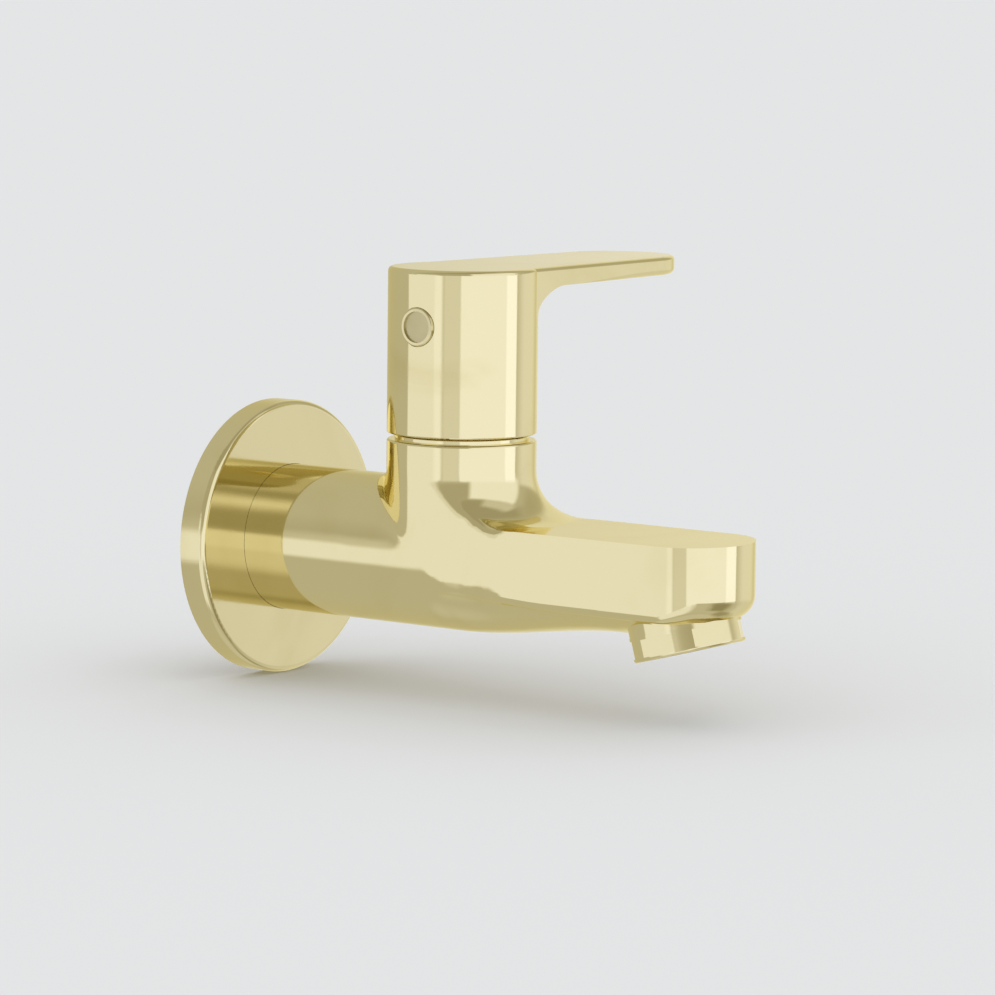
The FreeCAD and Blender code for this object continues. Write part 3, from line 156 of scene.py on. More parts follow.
# %% Group: marks of polishing
def polishing_marks():
    """Waviness, hairlines and smears, all read from the piece's own coordinates."""
    group, start, end = new_group(
        "polishing_marks", "ShaderNodeTree",
        [("Wave Scale", "NodeSocketFloat", 55.0), ("Hairline Scale", "NodeSocketFloat", 900.0),
         ("Smear Scale", "NodeSocketFloat", 28.0), ("Hairline Share", "NodeSocketFloat", 0.2)],
        [("Height", "NodeSocketFloat"), ("Marks", "NodeSocketFloat"), ("Smears", "NodeSocketFloat")])
    place = add(group, "ShaderNodeTexCoord")

    wave = add(group, "ShaderNodeTexNoise", "waviness")
    wave.inputs["Detail"].default_value = 1.0
    join(group, place.outputs["Object"], wave.inputs["Vector"])
    join(group, start.outputs["Wave Scale"], wave.inputs["Scale"])

    stretch = add(group, "ShaderNodeMapping", "hairline direction")
    stretch.inputs["Rotation"].default_value = (0.35, 0.2, 0.5)
    stretch.inputs["Scale"].default_value = (1.0, 0.06, 1.0)
    join(group, place.outputs["Object"], stretch.inputs["Vector"])
    hairline = add(group, "ShaderNodeTexNoise", "hairlines")
    hairline.inputs["Detail"].default_value = 3.0
    hairline.inputs["Roughness"].default_value = 0.7
    join(group, stretch.outputs["Vector"], hairline.inputs["Vector"])
    join(group, start.outputs["Hairline Scale"], hairline.inputs["Scale"])
    sharpen = add(group, "ShaderNodeMapRange", "only the deepest marks")
    sharpen.inputs["From Min"].default_value = 0.52
    sharpen.inputs["From Max"].default_value = 0.78
    join(group, hairline.outputs["Fac"], sharpen.inputs["Value"])

    smear = add(group, "ShaderNodeTexNoise", "smears")
    smear.inputs["Detail"].default_value = 4.0
    smear.inputs["Distortion"].default_value = 1.2
    join(group, place.outputs["Object"], smear.inputs["Vector"])
    join(group, start.outputs["Smear Scale"], smear.inputs["Scale"])
    patch = add(group, "ShaderNodeMapRange", "smear patches", interpolation_type="SMOOTHSTEP")
    patch.inputs["From Min"].default_value = 0.48
    patch.inputs["From Max"].default_value = 0.72
    join(group, smear.outputs["Fac"], patch.inputs["Value"])

    depth = add(group, "ShaderNodeMath", "hairline depth", operation="MULTIPLY")
    join(group, sharpen.outputs["Result"], depth.inputs[0])
    join(group, start.outputs["Hairline Share"], depth.inputs[1])
    height = add(group, "ShaderNodeMath", "waviness less hairlines", operation="SUBTRACT")
    join(group, wave.outputs["Fac"], height.inputs[0])
    join(group, depth.outputs["Value"], height.inputs[1])
    join(group, height.outputs["Value"], end.inputs["Height"])
    join(group, sharpen.outputs["Result"], end.inputs["Marks"])
    join(group, patch.outputs["Result"], end.inputs["Smears"])
    return group


MARKS = polishing_marks()
print("group made:", MARKS.name, "with", len(MARKS.nodes), "nodes")

# %% [markdown]
# ## The coated brass
# The finish is a pale, greenish gold laid on polished brass in a vacuum. Such a coat is a metal
# itself, so the colour is that of its reflection: Metallic is 1 and the gold goes in Base Color.
# The coat is a little thicker in some places, which turns the tone slightly, and the smears
# make it a little duller. Both come from the group of marks. The body, the flange, the lever and
# the aerator's housing leave the factory in the same finish, each polished on its own, so one
# function makes them all with slightly different values. A metal turns white where it is seen
# edge on. Specular Tint holds that back a little, so the flat top of the lever stays gold.

# %% Coated metal
GOLD = (0.775, 0.703, 0.440, 1.0)
GOLD_DEEP = (0.742, 0.662, 0.392, 1.0)
GRAZING = (1.0, 0.94, 0.68, 1.0)
COAT_BUMP = 0.35


def named_material(name):
    """An empty material with its shader and output."""
    material = bpy.data.materials.new(name)
    material.use_nodes = True
    tree = material.node_tree
    tree.nodes.clear()
    shader = add(tree, "ShaderNodeBsdfPrincipled")
    output = add(tree, "ShaderNodeOutputMaterial")
    join(tree, shader.outputs["BSDF"], output.inputs["Surface"])
    return material, tree, shader


def span(tree, source, low, high, label=None):
    """A mask from 0 to 1 turned into a value from low to high."""
    node = add(tree, "ShaderNodeMapRange", label)
    node.inputs["To Min"].default_value = low
    node.inputs["To Max"].default_value = high
    join(tree, source, node.inputs["Value"])
    return node.outputs["Result"]


# The Mix node has a set of sockets for each type under the same names, so they go by their place.
COLOUR_ONE, COLOUR_TWO, COLOUR_OUT = 6, 7, 2
FLOAT_ONE, FLOAT_TWO, FLOAT_OUT = 2, 3, 0


def blend(tree, mask, first, second, label=None):
    """Two colours mixed by a mask; either may be a colour or a socket."""
    node = add(tree, "ShaderNodeMix", label, data_type="RGBA")
    join(tree, mask, node.inputs["Factor"])
    for spot, colour in ((COLOUR_ONE, first), (COLOUR_TWO, second)):
        if isinstance(colour, tuple):
            node.inputs[spot].default_value = colour
        else:
            join(tree, colour, node.inputs[spot])
    return node.outputs[COLOUR_OUT]


def bumped(tree, shader, height, distance, strength):
    """Give the shader a bump from a height, in units of the distance in metres."""
    bump = add(tree, "ShaderNodeBump")
    bump.inputs["Distance"].default_value = distance
    bump.inputs["Strength"].default_value = strength
    join(tree, height, bump.inputs["Height"])
    join(tree, bump.outputs["Normal"], shader.inputs["Normal"])


def coated_metal(name, wave=55.0, smear=26.0, dull=0.05, duller=0.10, relief=0.00003):
    """Polished brass with the pale gold coat."""
    material, tree, shader = named_material(name)
    marks = add(tree, "ShaderNodeGroup", node_tree=MARKS)
    marks.inputs["Wave Scale"].default_value = wave
    marks.inputs["Smear Scale"].default_value = smear
    shader.inputs["Metallic"].default_value = 1.0
    shader.inputs["Specular Tint"].default_value = GRAZING
    tone = blend(tree, marks.outputs["Smears"], GOLD, GOLD_DEEP, "coat thickness")
    join(tree, tone, shader.inputs["Base Color"])
    hazy = add(tree, "ShaderNodeMath", "marks and smears", operation="MAXIMUM")
    join(tree, marks.outputs["Marks"], hazy.inputs[0])
    join(tree, marks.outputs["Smears"], hazy.inputs[1])
    join(tree, span(tree, hazy.outputs["Value"], dull, duller), shader.inputs["Roughness"])
    bumped(tree, shader, marks.outputs["Height"], relief, COAT_BUMP)
    return material


def paint(node, material):
    """Give a solid its finish; its mesh stays as it is."""
    for slot in nodes[node].material_slots:
        slot.material = material
    print(node, "->", material.name)


BODY_COAT = coated_metal("coat_on_body", wave=48.0)
paint("tap_body", BODY_COAT)
paint("glide_ring", coated_metal("coat_on_ring", wave=120.0))
paint("wall_flange", coated_metal("coat_on_flange", wave=40.0, smear=20.0, dull=0.07, duller=0.12))
paint("handle", coated_metal("coat_on_lever", wave=60.0, smear=34.0, duller=0.13))
paint("aerator_housing", coated_metal("coat_on_aerator", wave=90.0, dull=0.07))

# %% [markdown]
# ## The index button
# The button on the side of the lever hides the grub screw. Its rim is polished like the lever,
# and its round face is a flat, satin field that looks darker: it is rougher, and its gold is painted
# darker as painted shade. It is one turned piece, so it stays one solid with one material, and the
# distance from its own axis tells the face from the rim.

# %% Index button
BUTTON_AXIS = (0.0, -0.053, 0.0497)
FACE_RADIUS = 0.0033
FACE_EDGE = 0.00015
# Painted shade: the button's face is painted in this darker gold to stand in for the shade on the sunk
# face.
SHADED_FACE_GOLD = (0.52, 0.46, 0.27, 1.0)
HANDLED_GOLD = (0.60, 0.54, 0.33, 1.0)


def index_button():
    """Coated button with a rougher face inside a polished rim, its gold painted darker as painted shade.
    """
    material, tree, shader = named_material("coat_on_button")
    marks = add(tree, "ShaderNodeGroup", node_tree=MARKS)
    marks.inputs["Wave Scale"].default_value = 160.0
    shader.inputs["Metallic"].default_value = 1.0
    place = add(tree, "ShaderNodeTexCoord")
    centred = add(tree, "ShaderNodeMapping", "to the button's axis")
    centred.inputs["Location"].default_value = tuple(-v for v in BUTTON_AXIS)
    join(tree, place.outputs["Object"], centred.inputs["Vector"])
    flat = add(tree, "ShaderNodeVectorMath", "across the axis", operation="MULTIPLY")
    flat.inputs[1].default_value = (0.0, 1.0, 1.0)
    join(tree, centred.outputs["Vector"], flat.inputs[0])
    radius = add(tree, "ShaderNodeVectorMath", operation="LENGTH")
    join(tree, flat.outputs["Vector"], radius.inputs[0])
    face = add(tree, "ShaderNodeMapRange", "face inside the rim", interpolation_type="SMOOTHSTEP")
    face.inputs["From Min"].default_value = FACE_RADIUS + FACE_EDGE
    face.inputs["From Max"].default_value = FACE_RADIUS - FACE_EDGE
    join(tree, radius.outputs["Value"], face.inputs["Value"])
    # Painted shade: inside the rim the face is painted in the darker gold. The rougher face set just
    # below is its real satin finish.
    tone = blend(tree, face.outputs["Result"], GOLD, SHADED_FACE_GOLD, "face with painted shade")
    worn = blend(tree, marks.outputs["Smears"], tone, HANDLED_GOLD, "handled")
    join(tree, worn, shader.inputs["Base Color"])
    join(tree, span(tree, face.outputs["Result"], 0.08, 0.34), shader.inputs["Roughness"])
    bumped(tree, shader, marks.outputs["Height"], 0.00002, 0.4)
    return material


paint("index_button", index_button())

# %% [markdown]
# ## Inside the tap
# Bare brass is turned on a lathe, so it shows fine rings round its axis. The ceramic discs are
# ground and lapped, the seals are soft black rubber with a fine bloom, and the guides and the
# aerator's insert are moulded in pale plastic. All of these are small and mostly hidden, so
# each gets a simple material, but each still has the grain of its own process.

# %% Group: turned rings
def turned_rings():
    """Fine tool rings along the valve axis and a little cloudiness."""
    group, start, end = new_group(
        "turned_rings", "ShaderNodeTree",
        [("Ring Scale", "NodeSocketFloat", 2200.0), ("Cloud Scale", "NodeSocketFloat", 180.0)],
        [("Height", "NodeSocketFloat"), ("Clouds", "NodeSocketFloat")])
    place = add(group, "ShaderNodeTexCoord")
    rings = add(group, "ShaderNodeTexWave", "tool rings", wave_type="BANDS", bands_direction="Z")
    rings.inputs["Distortion"].default_value = 0.6
    rings.inputs["Detail"].default_value = 1.0
    join(group, place.outputs["Object"], rings.inputs["Vector"])
    join(group, start.outputs["Ring Scale"], rings.inputs["Scale"])
    clouds = add(group, "ShaderNodeTexNoise", "clouds")
    clouds.inputs["Detail"].default_value = 3.0
    join(group, place.outputs["Object"], clouds.inputs["Vector"])
    join(group, start.outputs["Cloud Scale"], clouds.inputs["Scale"])
    join(group, rings.outputs["Fac"], end.inputs["Height"])
    join(group, clouds.outputs["Fac"], end.inputs["Clouds"])
    return group


RINGS = turned_rings()
TURNED_SPREAD = 0.12


def turned_metal(name, light, dark, rough):
    """Bare metal as it leaves the lathe."""
    material, tree, shader = named_material(name)
    rings = add(tree, "ShaderNodeGroup", node_tree=RINGS)
    shader.inputs["Metallic"].default_value = 1.0
    join(tree, blend(tree, rings.outputs["Clouds"], light, dark), shader.inputs["Base Color"])
    dull = span(tree, rings.outputs["Clouds"], rough, rough + TURNED_SPREAD)
    join(tree, dull, shader.inputs["Roughness"])
    bumped(tree, shader, rings.outputs["Height"], 0.00002, 0.5)
    return material


BRASS = turned_metal("turned_brass", (0.80, 0.60, 0.27, 1.0), (0.66, 0.46, 0.18, 1.0), 0.24)
for piece in ("headwork_body", "spindle", "stop_washer"):
    paint(piece, BRASS)
STEEL = turned_metal("spring_steel", (0.56, 0.56, 0.55, 1.0), (0.40, 0.40, 0.41, 1.0), 0.26)
for piece in ("spindle_clip", "grub_screw"):
    paint(piece, STEEL)

# %% Group: moulded skin
def moulded_skin():
    """Grain of a moulded or ground surface."""
    group, start, end = new_group(
        "moulded_skin", "ShaderNodeTree",
        [("Grain Scale", "NodeSocketFloat", 1600.0), ("Tone Scale", "NodeSocketFloat", 120.0)],
        [("Height", "NodeSocketFloat"), ("Tone", "NodeSocketFloat")])
    place = add(group, "ShaderNodeTexCoord")
    grain = add(group, "ShaderNodeTexNoise", "grain")
    grain.inputs["Detail"].default_value = 2.0
    join(group, place.outputs["Object"], grain.inputs["Vector"])
    join(group, start.outputs["Grain Scale"], grain.inputs["Scale"])
    tone = add(group, "ShaderNodeTexNoise", "tone")
    tone.inputs["Detail"].default_value = 3.0
    join(group, place.outputs["Object"], tone.inputs["Vector"])
    join(group, start.outputs["Tone Scale"], tone.inputs["Scale"])
    join(group, grain.outputs["Fac"], end.inputs["Height"])
    join(group, tone.outputs["Fac"], end.inputs["Tone"])
    return group


SKIN = moulded_skin()
MOULDED_SPREAD = 0.1


def moulded(name, light, dark, rough, grain=1600.0, relief=0.00003):
    """Plastic, rubber or ceramic with the grain of its process."""
    material, tree, shader = named_material(name)
    skin = add(tree, "ShaderNodeGroup", node_tree=SKIN)
    skin.inputs["Grain Scale"].default_value = grain
    join(tree, blend(tree, skin.outputs["Tone"], light, dark), shader.inputs["Base Color"])
    dull = span(tree, skin.outputs["Tone"], rough, rough + MOULDED_SPREAD)
    join(tree, dull, shader.inputs["Roughness"])
    bumped(tree, shader, skin.outputs["Height"], relief, 0.5)
    return material


CERAMIC = moulded("lapped_ceramic", (0.86, 0.85, 0.82, 1.0), (0.78, 0.77, 0.74, 1.0), 0.18,
                  grain=3000.0, relief=0.00001)
RUBBER = moulded("seal_rubber", (0.022, 0.022, 0.024, 1.0), (0.045, 0.044, 0.043, 1.0), 0.5)
GUIDE = moulded("guide_plastic", (0.72, 0.70, 0.62, 1.0), (0.62, 0.60, 0.52, 1.0), 0.36)
BUSH = moulded("bush_plastic", (0.30, 0.31, 0.33, 1.0), (0.22, 0.23, 0.25, 1.0), 0.4)
INSERT = moulded("aerator_plastic_skin", (0.80, 0.81, 0.80, 1.0), (0.70, 0.71, 0.71, 1.0), 0.32)
FINISHES = (
    (CERAMIC, ("fixed_disc", "moving_disc")),
    (RUBBER, ("flange_seal_ring", "headwork_seal_ring", "seat_seal", "spindle_seal_lower",
              "spindle_seal_upper", "aerator_seal")),
    (GUIDE, ("thrust_washer",)),
    (BUSH, ("handle_insert",)),
    (INSERT, ("aerator_grid", "aerator_core", "aerator_jets", "aerator_filter")),
)
for finish, pieces in FINISHES:
    for piece in pieces:
        paint(piece, finish)

# %% [markdown]
# ## Soft hollows in the casting
# On the real tap the neck, the barrel and the spout run into each other in soft hollows, because
# neither the mould nor the polishing wheel leaves a sharp line there. The solid meets in crisp
# lines. A Bevel could not round them, since they fade out to nothing at both ends. So a copy of
# the solid is cut finer near those lines, and its points are relaxed towards their neighbours.
# Plain relaxing also shrinks the round parts. A step back after each step forward keeps those
# and takes away only what is narrower than about a dozen small edges. The normals of the soft
# places are evened out in the same way, without the step back, so that reflections run smoothly
# there. Everywhere else the copy keeps the exact normals of the solid.

# %% Where the body is soft
NECK_RADIUS = 0.016
NECK_REACH = 0.053
RIM_EXACT = 0.0245
RIM_SOFT = 0.0195
KEEL_EXACT = -0.0155
KEEL_SOFT = -0.0080
HOLLOW_WIDE = 0.0130
HOLLOW_CORE = 0.0015
SOFT_LOW = (-0.0170, -0.0835, -0.0155)
SOFT_HIGH = (0.0170, -0.0225, 0.0240)
SLICE = 0.0012


def ramp(value, zero, one):
    """0 at zero, 1 at one, and smooth between them."""
    share = np.clip((value - zero) / (one - zero), 0.0, 1.0)
    return share * share * (3.0 - 2.0 * share)


def softness(points):
    """How soft the casting is at each point: 1 where neck and barrel meet, 0 away from there."""
    x, y, z = points[:, 0], points[:, 1] + NECK_REACH, points[:, 2]
    from_neck = np.abs(np.hypot(x, y) - NECK_RADIUS)
    from_barrel = np.abs(np.hypot(x, z) - NECK_RADIUS)
    near = ramp(np.hypot(from_neck, from_barrel), HOLLOW_WIDE, HOLLOW_CORE)
    return near * ramp(z, KEEL_EXACT, KEEL_SOFT) * ramp(z, RIM_EXACT, RIM_SOFT)


# %% Cut the copy finer
OFF_FACE = 0.00005
SIGHT = 0.2
SAME_POINT = 1e-6
ON_PLANE = 0.00002


def mark_skin(shape):
    """Give the outer faces material index 1: from them a straight line leads out."""
    tree = BVHTree.FromBMesh(shape)
    for face in shape.faces:
        start = face.calc_center_median() + face.normal * OFF_FACE
        face.material_index = 0 if tree.ray_cast(start, face.normal, SIGHT)[0] else 1


def cut_finer(shape):
    """Slice the soft skin by planes a small step apart in all three directions."""
    faces = []
    for face in shape.faces:
        places = np.array([tuple(vertex.co) for vertex in face.verts])
        inside = (places.min(axis=0) < SOFT_HIGH) & (places.max(axis=0) > SOFT_LOW)
        if face.material_index and inside.all():
            faces.append(face)
    for axis in range(3):
        edges = {edge for face in faces for edge in face.edges}
        points = {point for face in faces for point in face.verts}
        cut = faces + list(edges) + list(points)
        normal = [float(axis == k) for k in range(3)]
        for level in np.arange(SOFT_LOW[axis], SOFT_HIGH[axis], SLICE):
            cut = bmesh.ops.bisect_plane(shape, geom=cut, dist=ON_PLANE, plane_no=normal,
                                         plane_co=[level * part for part in normal])["geom"]
        faces = [item for item in cut if isinstance(item, bmesh.types.BMFace)]
    wide = [face for face in shape.faces if len(face.verts) > 3]
    bmesh.ops.triangulate(shape, faces=wide)
    loose = sum(len(edge.link_faces) != 2 for edge in shape.edges)
    print("sliced into", len(shape.faces), "faces with", loose, "loose edges")


# %% Relax the copy
RELAX_TURNS = 120
STEP_ON = 0.50
STEP_BACK = -0.46
NORMAL_TURNS = 24
NORMAL_FULL = 0.45
PULL_LEAST = 0.05
PULL_MOST = 4.0
TINY_AREA = 1e-12
TINY_NORMAL = 1e-20


def neighbours(points, corners):
    """Every point with each of its neighbours, and how strongly the triangles tie the two."""
    pairs = []
    for k in range(3):
        one, two, three = corners[:, k], corners[:, (k + 1) % 3], corners[:, (k + 2) % 3]
        left, right = points[one] - points[three], points[two] - points[three]
        across = np.linalg.norm(np.cross(left, right), axis=1)
        slope = np.einsum("ij,ij->i", left, right) / np.maximum(across, TINY_AREA)
        pull = np.clip(slope, PULL_LEAST, PULL_MOST)
        pairs += [(one, two, pull), (two, one, pull)]
    return [np.concatenate([pair[part] for pair in pairs]) for part in range(3)]


def relaxed(values, ties, weight, steps):
    """Each point's three values moved by the steps towards the mean of its neighbours' values."""
    here, there, pull = ties
    total = np.bincount(here, pull, len(values))
    moved = values.copy()
    for step in steps:
        mean = np.stack([np.bincount(here, pull * moved[there, k], len(values)) for k in range(3)], 1)
        moved += (mean / total[:, None] - moved) * (weight * step)[:, None]
    return moved


def point_normals(points, corners):
    """The normal of each point, from the triangles round it."""
    flat = np.cross(points[corners[:, 1]] - points[corners[:, 0]],
                    points[corners[:, 2]] - points[corners[:, 0]])
    round_point = np.zeros_like(points)
    for k in range(3):
        np.add.at(round_point, corners[:, k], flat)
    size = np.linalg.norm(round_point, axis=1, keepdims=True)
    return round_point / np.maximum(size, TINY_NORMAL)


# %% Softened body
INWARD = 0.02


def solid_normals(solid, points, corners):
    """The solid's own normal at every corner of the triangles."""
    places = [vertex.co for vertex in solid.vertices]
    rings = [tuple(polygon.vertices) for polygon in solid.polygons]
    starts = [polygon.loop_start for polygon in solid.polygons]
    exact = [Vector(normal.vector) for normal in solid.corner_normals]
    tree = BVHTree.FromPolygons(places, rings)
    middles = points[corners].mean(axis=1)
    found = []
    for ring, middle in zip(corners, middles):
        for index in ring:
            spot = Vector(points[index] * (1.0 - INWARD) + middle * INWARD)
            face = tree.find_nearest(spot)[2]
            share = poly_3d_calc([places[i] for i in rings[face]], Vector(points[index]))
            normal = Vector((0.0, 0.0, 0.0))
            for k, part in enumerate(share):
                normal += exact[starts[face] + k] * part
            found.append(normal.normalized())
    return np.array(found)


def softened_body():
    """A copy of the body with soft hollows between neck, barrel and spout."""
    solid = nodes["tap_body"].data
    shape = bmesh.new()
    shape.from_mesh(solid)
    bmesh.ops.remove_doubles(shape, verts=shape.verts, dist=SAME_POINT)
    mark_skin(shape)
    cut_finer(shape)
    mesh = bpy.data.meshes.new("cast_body")
    shape.to_mesh(mesh)
    shape.free()
    points = np.empty(len(mesh.vertices) * 3)
    mesh.vertices.foreach_get("co", points)
    points = points.reshape(-1, 3)
    corners = np.array([tuple(polygon.vertices) for polygon in mesh.polygons])
    skin = np.zeros(len(mesh.polygons), dtype=np.int32)
    mesh.polygons.foreach_get("material_index", skin)
    outer = np.zeros(len(points))
    outer[corners[skin == 1].ravel()] = 1.0
    weight = softness(points) * outer
    exact = solid_normals(solid, points, corners)
    ties = neighbours(points, corners)
    moved = relaxed(points, ties, weight, (STEP_ON, STEP_BACK) * RELAX_TURNS)
    largest = np.linalg.norm(moved - points, axis=1).max()
    print("largest move in mm:", round(float(largest) * 1000, 2))
    mesh.vertices.foreach_set("co", moved.ravel())
    mesh.polygons.foreach_set("material_index", np.zeros(len(mesh.polygons), dtype=np.int32))
    share = ramp(weight, 0.0, NORMAL_FULL)
    smooth = relaxed(point_normals(moved, corners), ties, share, (STEP_ON,) * NORMAL_TURNS)
    share = share[corners.ravel()][:, None]
    normals = exact * (1.0 - share) + smooth[corners.ravel()] * share
    mesh.materials.clear()
    mesh.materials.append(BODY_COAT)
    mesh.shade_smooth()
    mesh.normals_split_custom_set(normals / np.linalg.norm(normals, axis=1, keepdims=True))
    piece = bpy.data.objects.new("cast_body", mesh)
    bpy.context.scene.collection.objects.link(piece)
    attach(piece, "tap")
    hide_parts("tap_body")
    return piece


cast_body = softened_body()

# %% [markdown]
# ## The pipe thread
# The inlet is a half-inch pipe thread: 14 turns to the inch, so 1.814 mm from crest to crest.
# The solid has its outer cylinder only. A screw modelled turn by turn would be slow, but a thread
# follows a helix, and Geometry Nodes sweep a small square along one, set on its corner. The outer
# corner is the crest and stands a hair over the solid, and the rest is sunk in it, so that no gap
# shows.

# %% Inlet thread
def tree_input(group, name, value):
    """A named number on a Geometry Nodes tree, with its identifier."""
    item = group.interface.new_socket(name, in_out="INPUT", socket_type="NodeSocketFloat")
    item.default_value = value
    return item.identifier


def thread_tree(finish, sizes):
    """A square on its corner, swept along a helix that is laid along the inlet axis."""
    tree = bpy.data.node_groups.new("pipe_thread", "GeometryNodeTree")
    tree.interface.new_socket("Geometry", in_out="OUTPUT", socket_type="NodeSocketGeometry")
    names = {name: tree_input(tree, name, value) for name, value in sizes.items()}
    start = add(tree, "NodeGroupInput")
    end = add(tree, "NodeGroupOutput")
    turns = add(tree, "ShaderNodeMath", "turns", operation="DIVIDE")
    join(tree, start.outputs["Length"], turns.inputs[0])
    join(tree, start.outputs["Pitch"], turns.inputs[1])
    helix = add(tree, "GeometryNodeCurveSpiral")
    helix.inputs["Resolution"].default_value = 72
    join(tree, turns.outputs["Value"], helix.inputs["Rotations"])
    join(tree, start.outputs["Radius"], helix.inputs["Start Radius"])
    join(tree, start.outputs["Radius"], helix.inputs["End Radius"])
    join(tree, start.outputs["Length"], helix.inputs["Height"])
    profile = add(tree, "GeometryNodeCurvePrimitiveCircle")
    profile.inputs["Resolution"].default_value = 4
    join(tree, start.outputs["Ridge"], profile.inputs["Radius"])
    share = add(tree, "GeometryNodeSplineParameter")
    fade = add(tree, "ShaderNodeMapRange", "run out at both ends", interpolation_type="SMOOTHSTEP")
    tent = add(tree, "ShaderNodeMath", operation="PINGPONG")
    tent.inputs[1].default_value = 0.5
    join(tree, share.outputs["Factor"], tent.inputs[0])
    fade.inputs["From Max"].default_value = 0.06
    fade.inputs["To Min"].default_value = 0.15
    join(tree, tent.outputs["Value"], fade.inputs["Value"])
    thin = add(tree, "GeometryNodeSetCurveRadius")
    join(tree, helix.outputs["Curve"], thin.inputs["Curve"])
    join(tree, fade.outputs["Result"], thin.inputs["Radius"])
    sweep = add(tree, "GeometryNodeCurveToMesh")
    sweep.inputs["Fill Caps"].default_value = True
    join(tree, thin.outputs["Curve"], sweep.inputs["Curve"])
    join(tree, profile.outputs["Curve"], sweep.inputs["Profile Curve"])
    lay = add(tree, "GeometryNodeTransform")
    lay.inputs["Rotation"].default_value = (-math.pi / 2, 0.0, 0.0)
    shift = add(tree, "ShaderNodeCombineXYZ")
    join(tree, start.outputs["Start"], shift.inputs["Y"])
    join(tree, shift.outputs["Vector"], lay.inputs["Translation"])
    join(tree, sweep.outputs["Mesh"], lay.inputs["Geometry"])
    real = add(tree, "GeometryNodeRealizeInstances")
    join(tree, lay.outputs["Geometry"], real.inputs["Geometry"])
    skin = add(tree, "GeometryNodeSetMaterial")
    skin.inputs["Material"].default_value = finish
    join(tree, real.outputs["Geometry"], skin.inputs["Geometry"])
    join(tree, skin.outputs["Geometry"], end.inputs["Geometry"])
    return tree, names


def grown(name, tree, names, sizes, body):
    """Run a tree on an empty mesh, keep the result as a plain mesh and let it ride a body."""
    seed = bpy.data.objects.new(name + "_seed", bpy.data.meshes.new(name + "_seed"))
    bpy.context.scene.collection.objects.link(seed)
    modifier = seed.modifiers.new("grow", "NODES")
    modifier.node_group = tree
    for label, value in sizes.items():
        modifier[names[label]] = value
    bpy.context.view_layer.update()
    view = bpy.context.evaluated_depsgraph_get()
    mesh = bpy.data.meshes.new_from_object(seed.evaluated_get(view), depsgraph=view)
    seed.modifiers.remove(modifier)
    bpy.data.objects.remove(seed)
    mesh.name = name
    piece = bpy.data.objects.new(name, mesh)
    bpy.context.scene.collection.objects.link(piece)
    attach(piece, body)
    print(name, len(mesh.polygons), "faces")
    return piece


THREAD_RADIUS = 0.010478
THREAD_SINK = 0.00035
THREAD_SIZES = {"Radius": THREAD_RADIUS - THREAD_SINK, "Pitch": 0.001814, "Length": 0.0115,
                "Start": 0.0018, "Ridge": 0.00058}
CUT_METAL = coated_metal("coat_on_thread", wave=200.0, dull=0.16, duller=0.26)
thread, thread_names = thread_tree(CUT_METAL, THREAD_SIZES)
inlet_thread = grown("inlet_thread", thread, thread_names, THREAD_SIZES, "tap")

# %% [markdown]
# ## The floor and the light
# The tap is shown on a plain pale floor. The floor is what the camera sees behind it too,
# because the lens looks down at it. A polished surface shows little of its own: what the eye
# reads is the room in it. So the world does the work of a studio here. Seen directly it is
# pale, for soft light on the floor it is white, and in reflections it is a ring of soft
# boxes, each a window in direction with soft or sharp edges. The same could be done with
# many lamps, but their edges would be harder to place.

# %% Floor
FLOOR_GAP = 0.0002
FLOOR_REACH = 20.0


def pale_floor():
    """A large plain floor just under the lowest piece."""
    level = cad_box[0].z - FLOOR_GAP
    mesh = bpy.data.meshes.new("floor")
    corners = [(x * FLOOR_REACH, y * FLOOR_REACH, level) for x, y in ((-1, -1), (1, -1), (1, 1), (-1, 1))]
    mesh.from_pydata(corners, [], [(0, 1, 2, 3)])
    floor = bpy.data.objects.new("floor", mesh)
    bpy.context.scene.collection.objects.link(floor)
    material, tree, shader = named_material("pale_floor")
    shader.inputs["Base Color"].default_value = (0.80, 0.80, 0.79, 1.0)
    shader.inputs["Roughness"].default_value = 0.9
    shader.inputs["Specular IOR Level"].default_value = 0.0
    mesh.materials.append(material)
    floor.visible_glossy = False
    return floor


floor = pale_floor()
print("floor at", round(floor.data.vertices[0].co.z * 1000, 2), "mm")

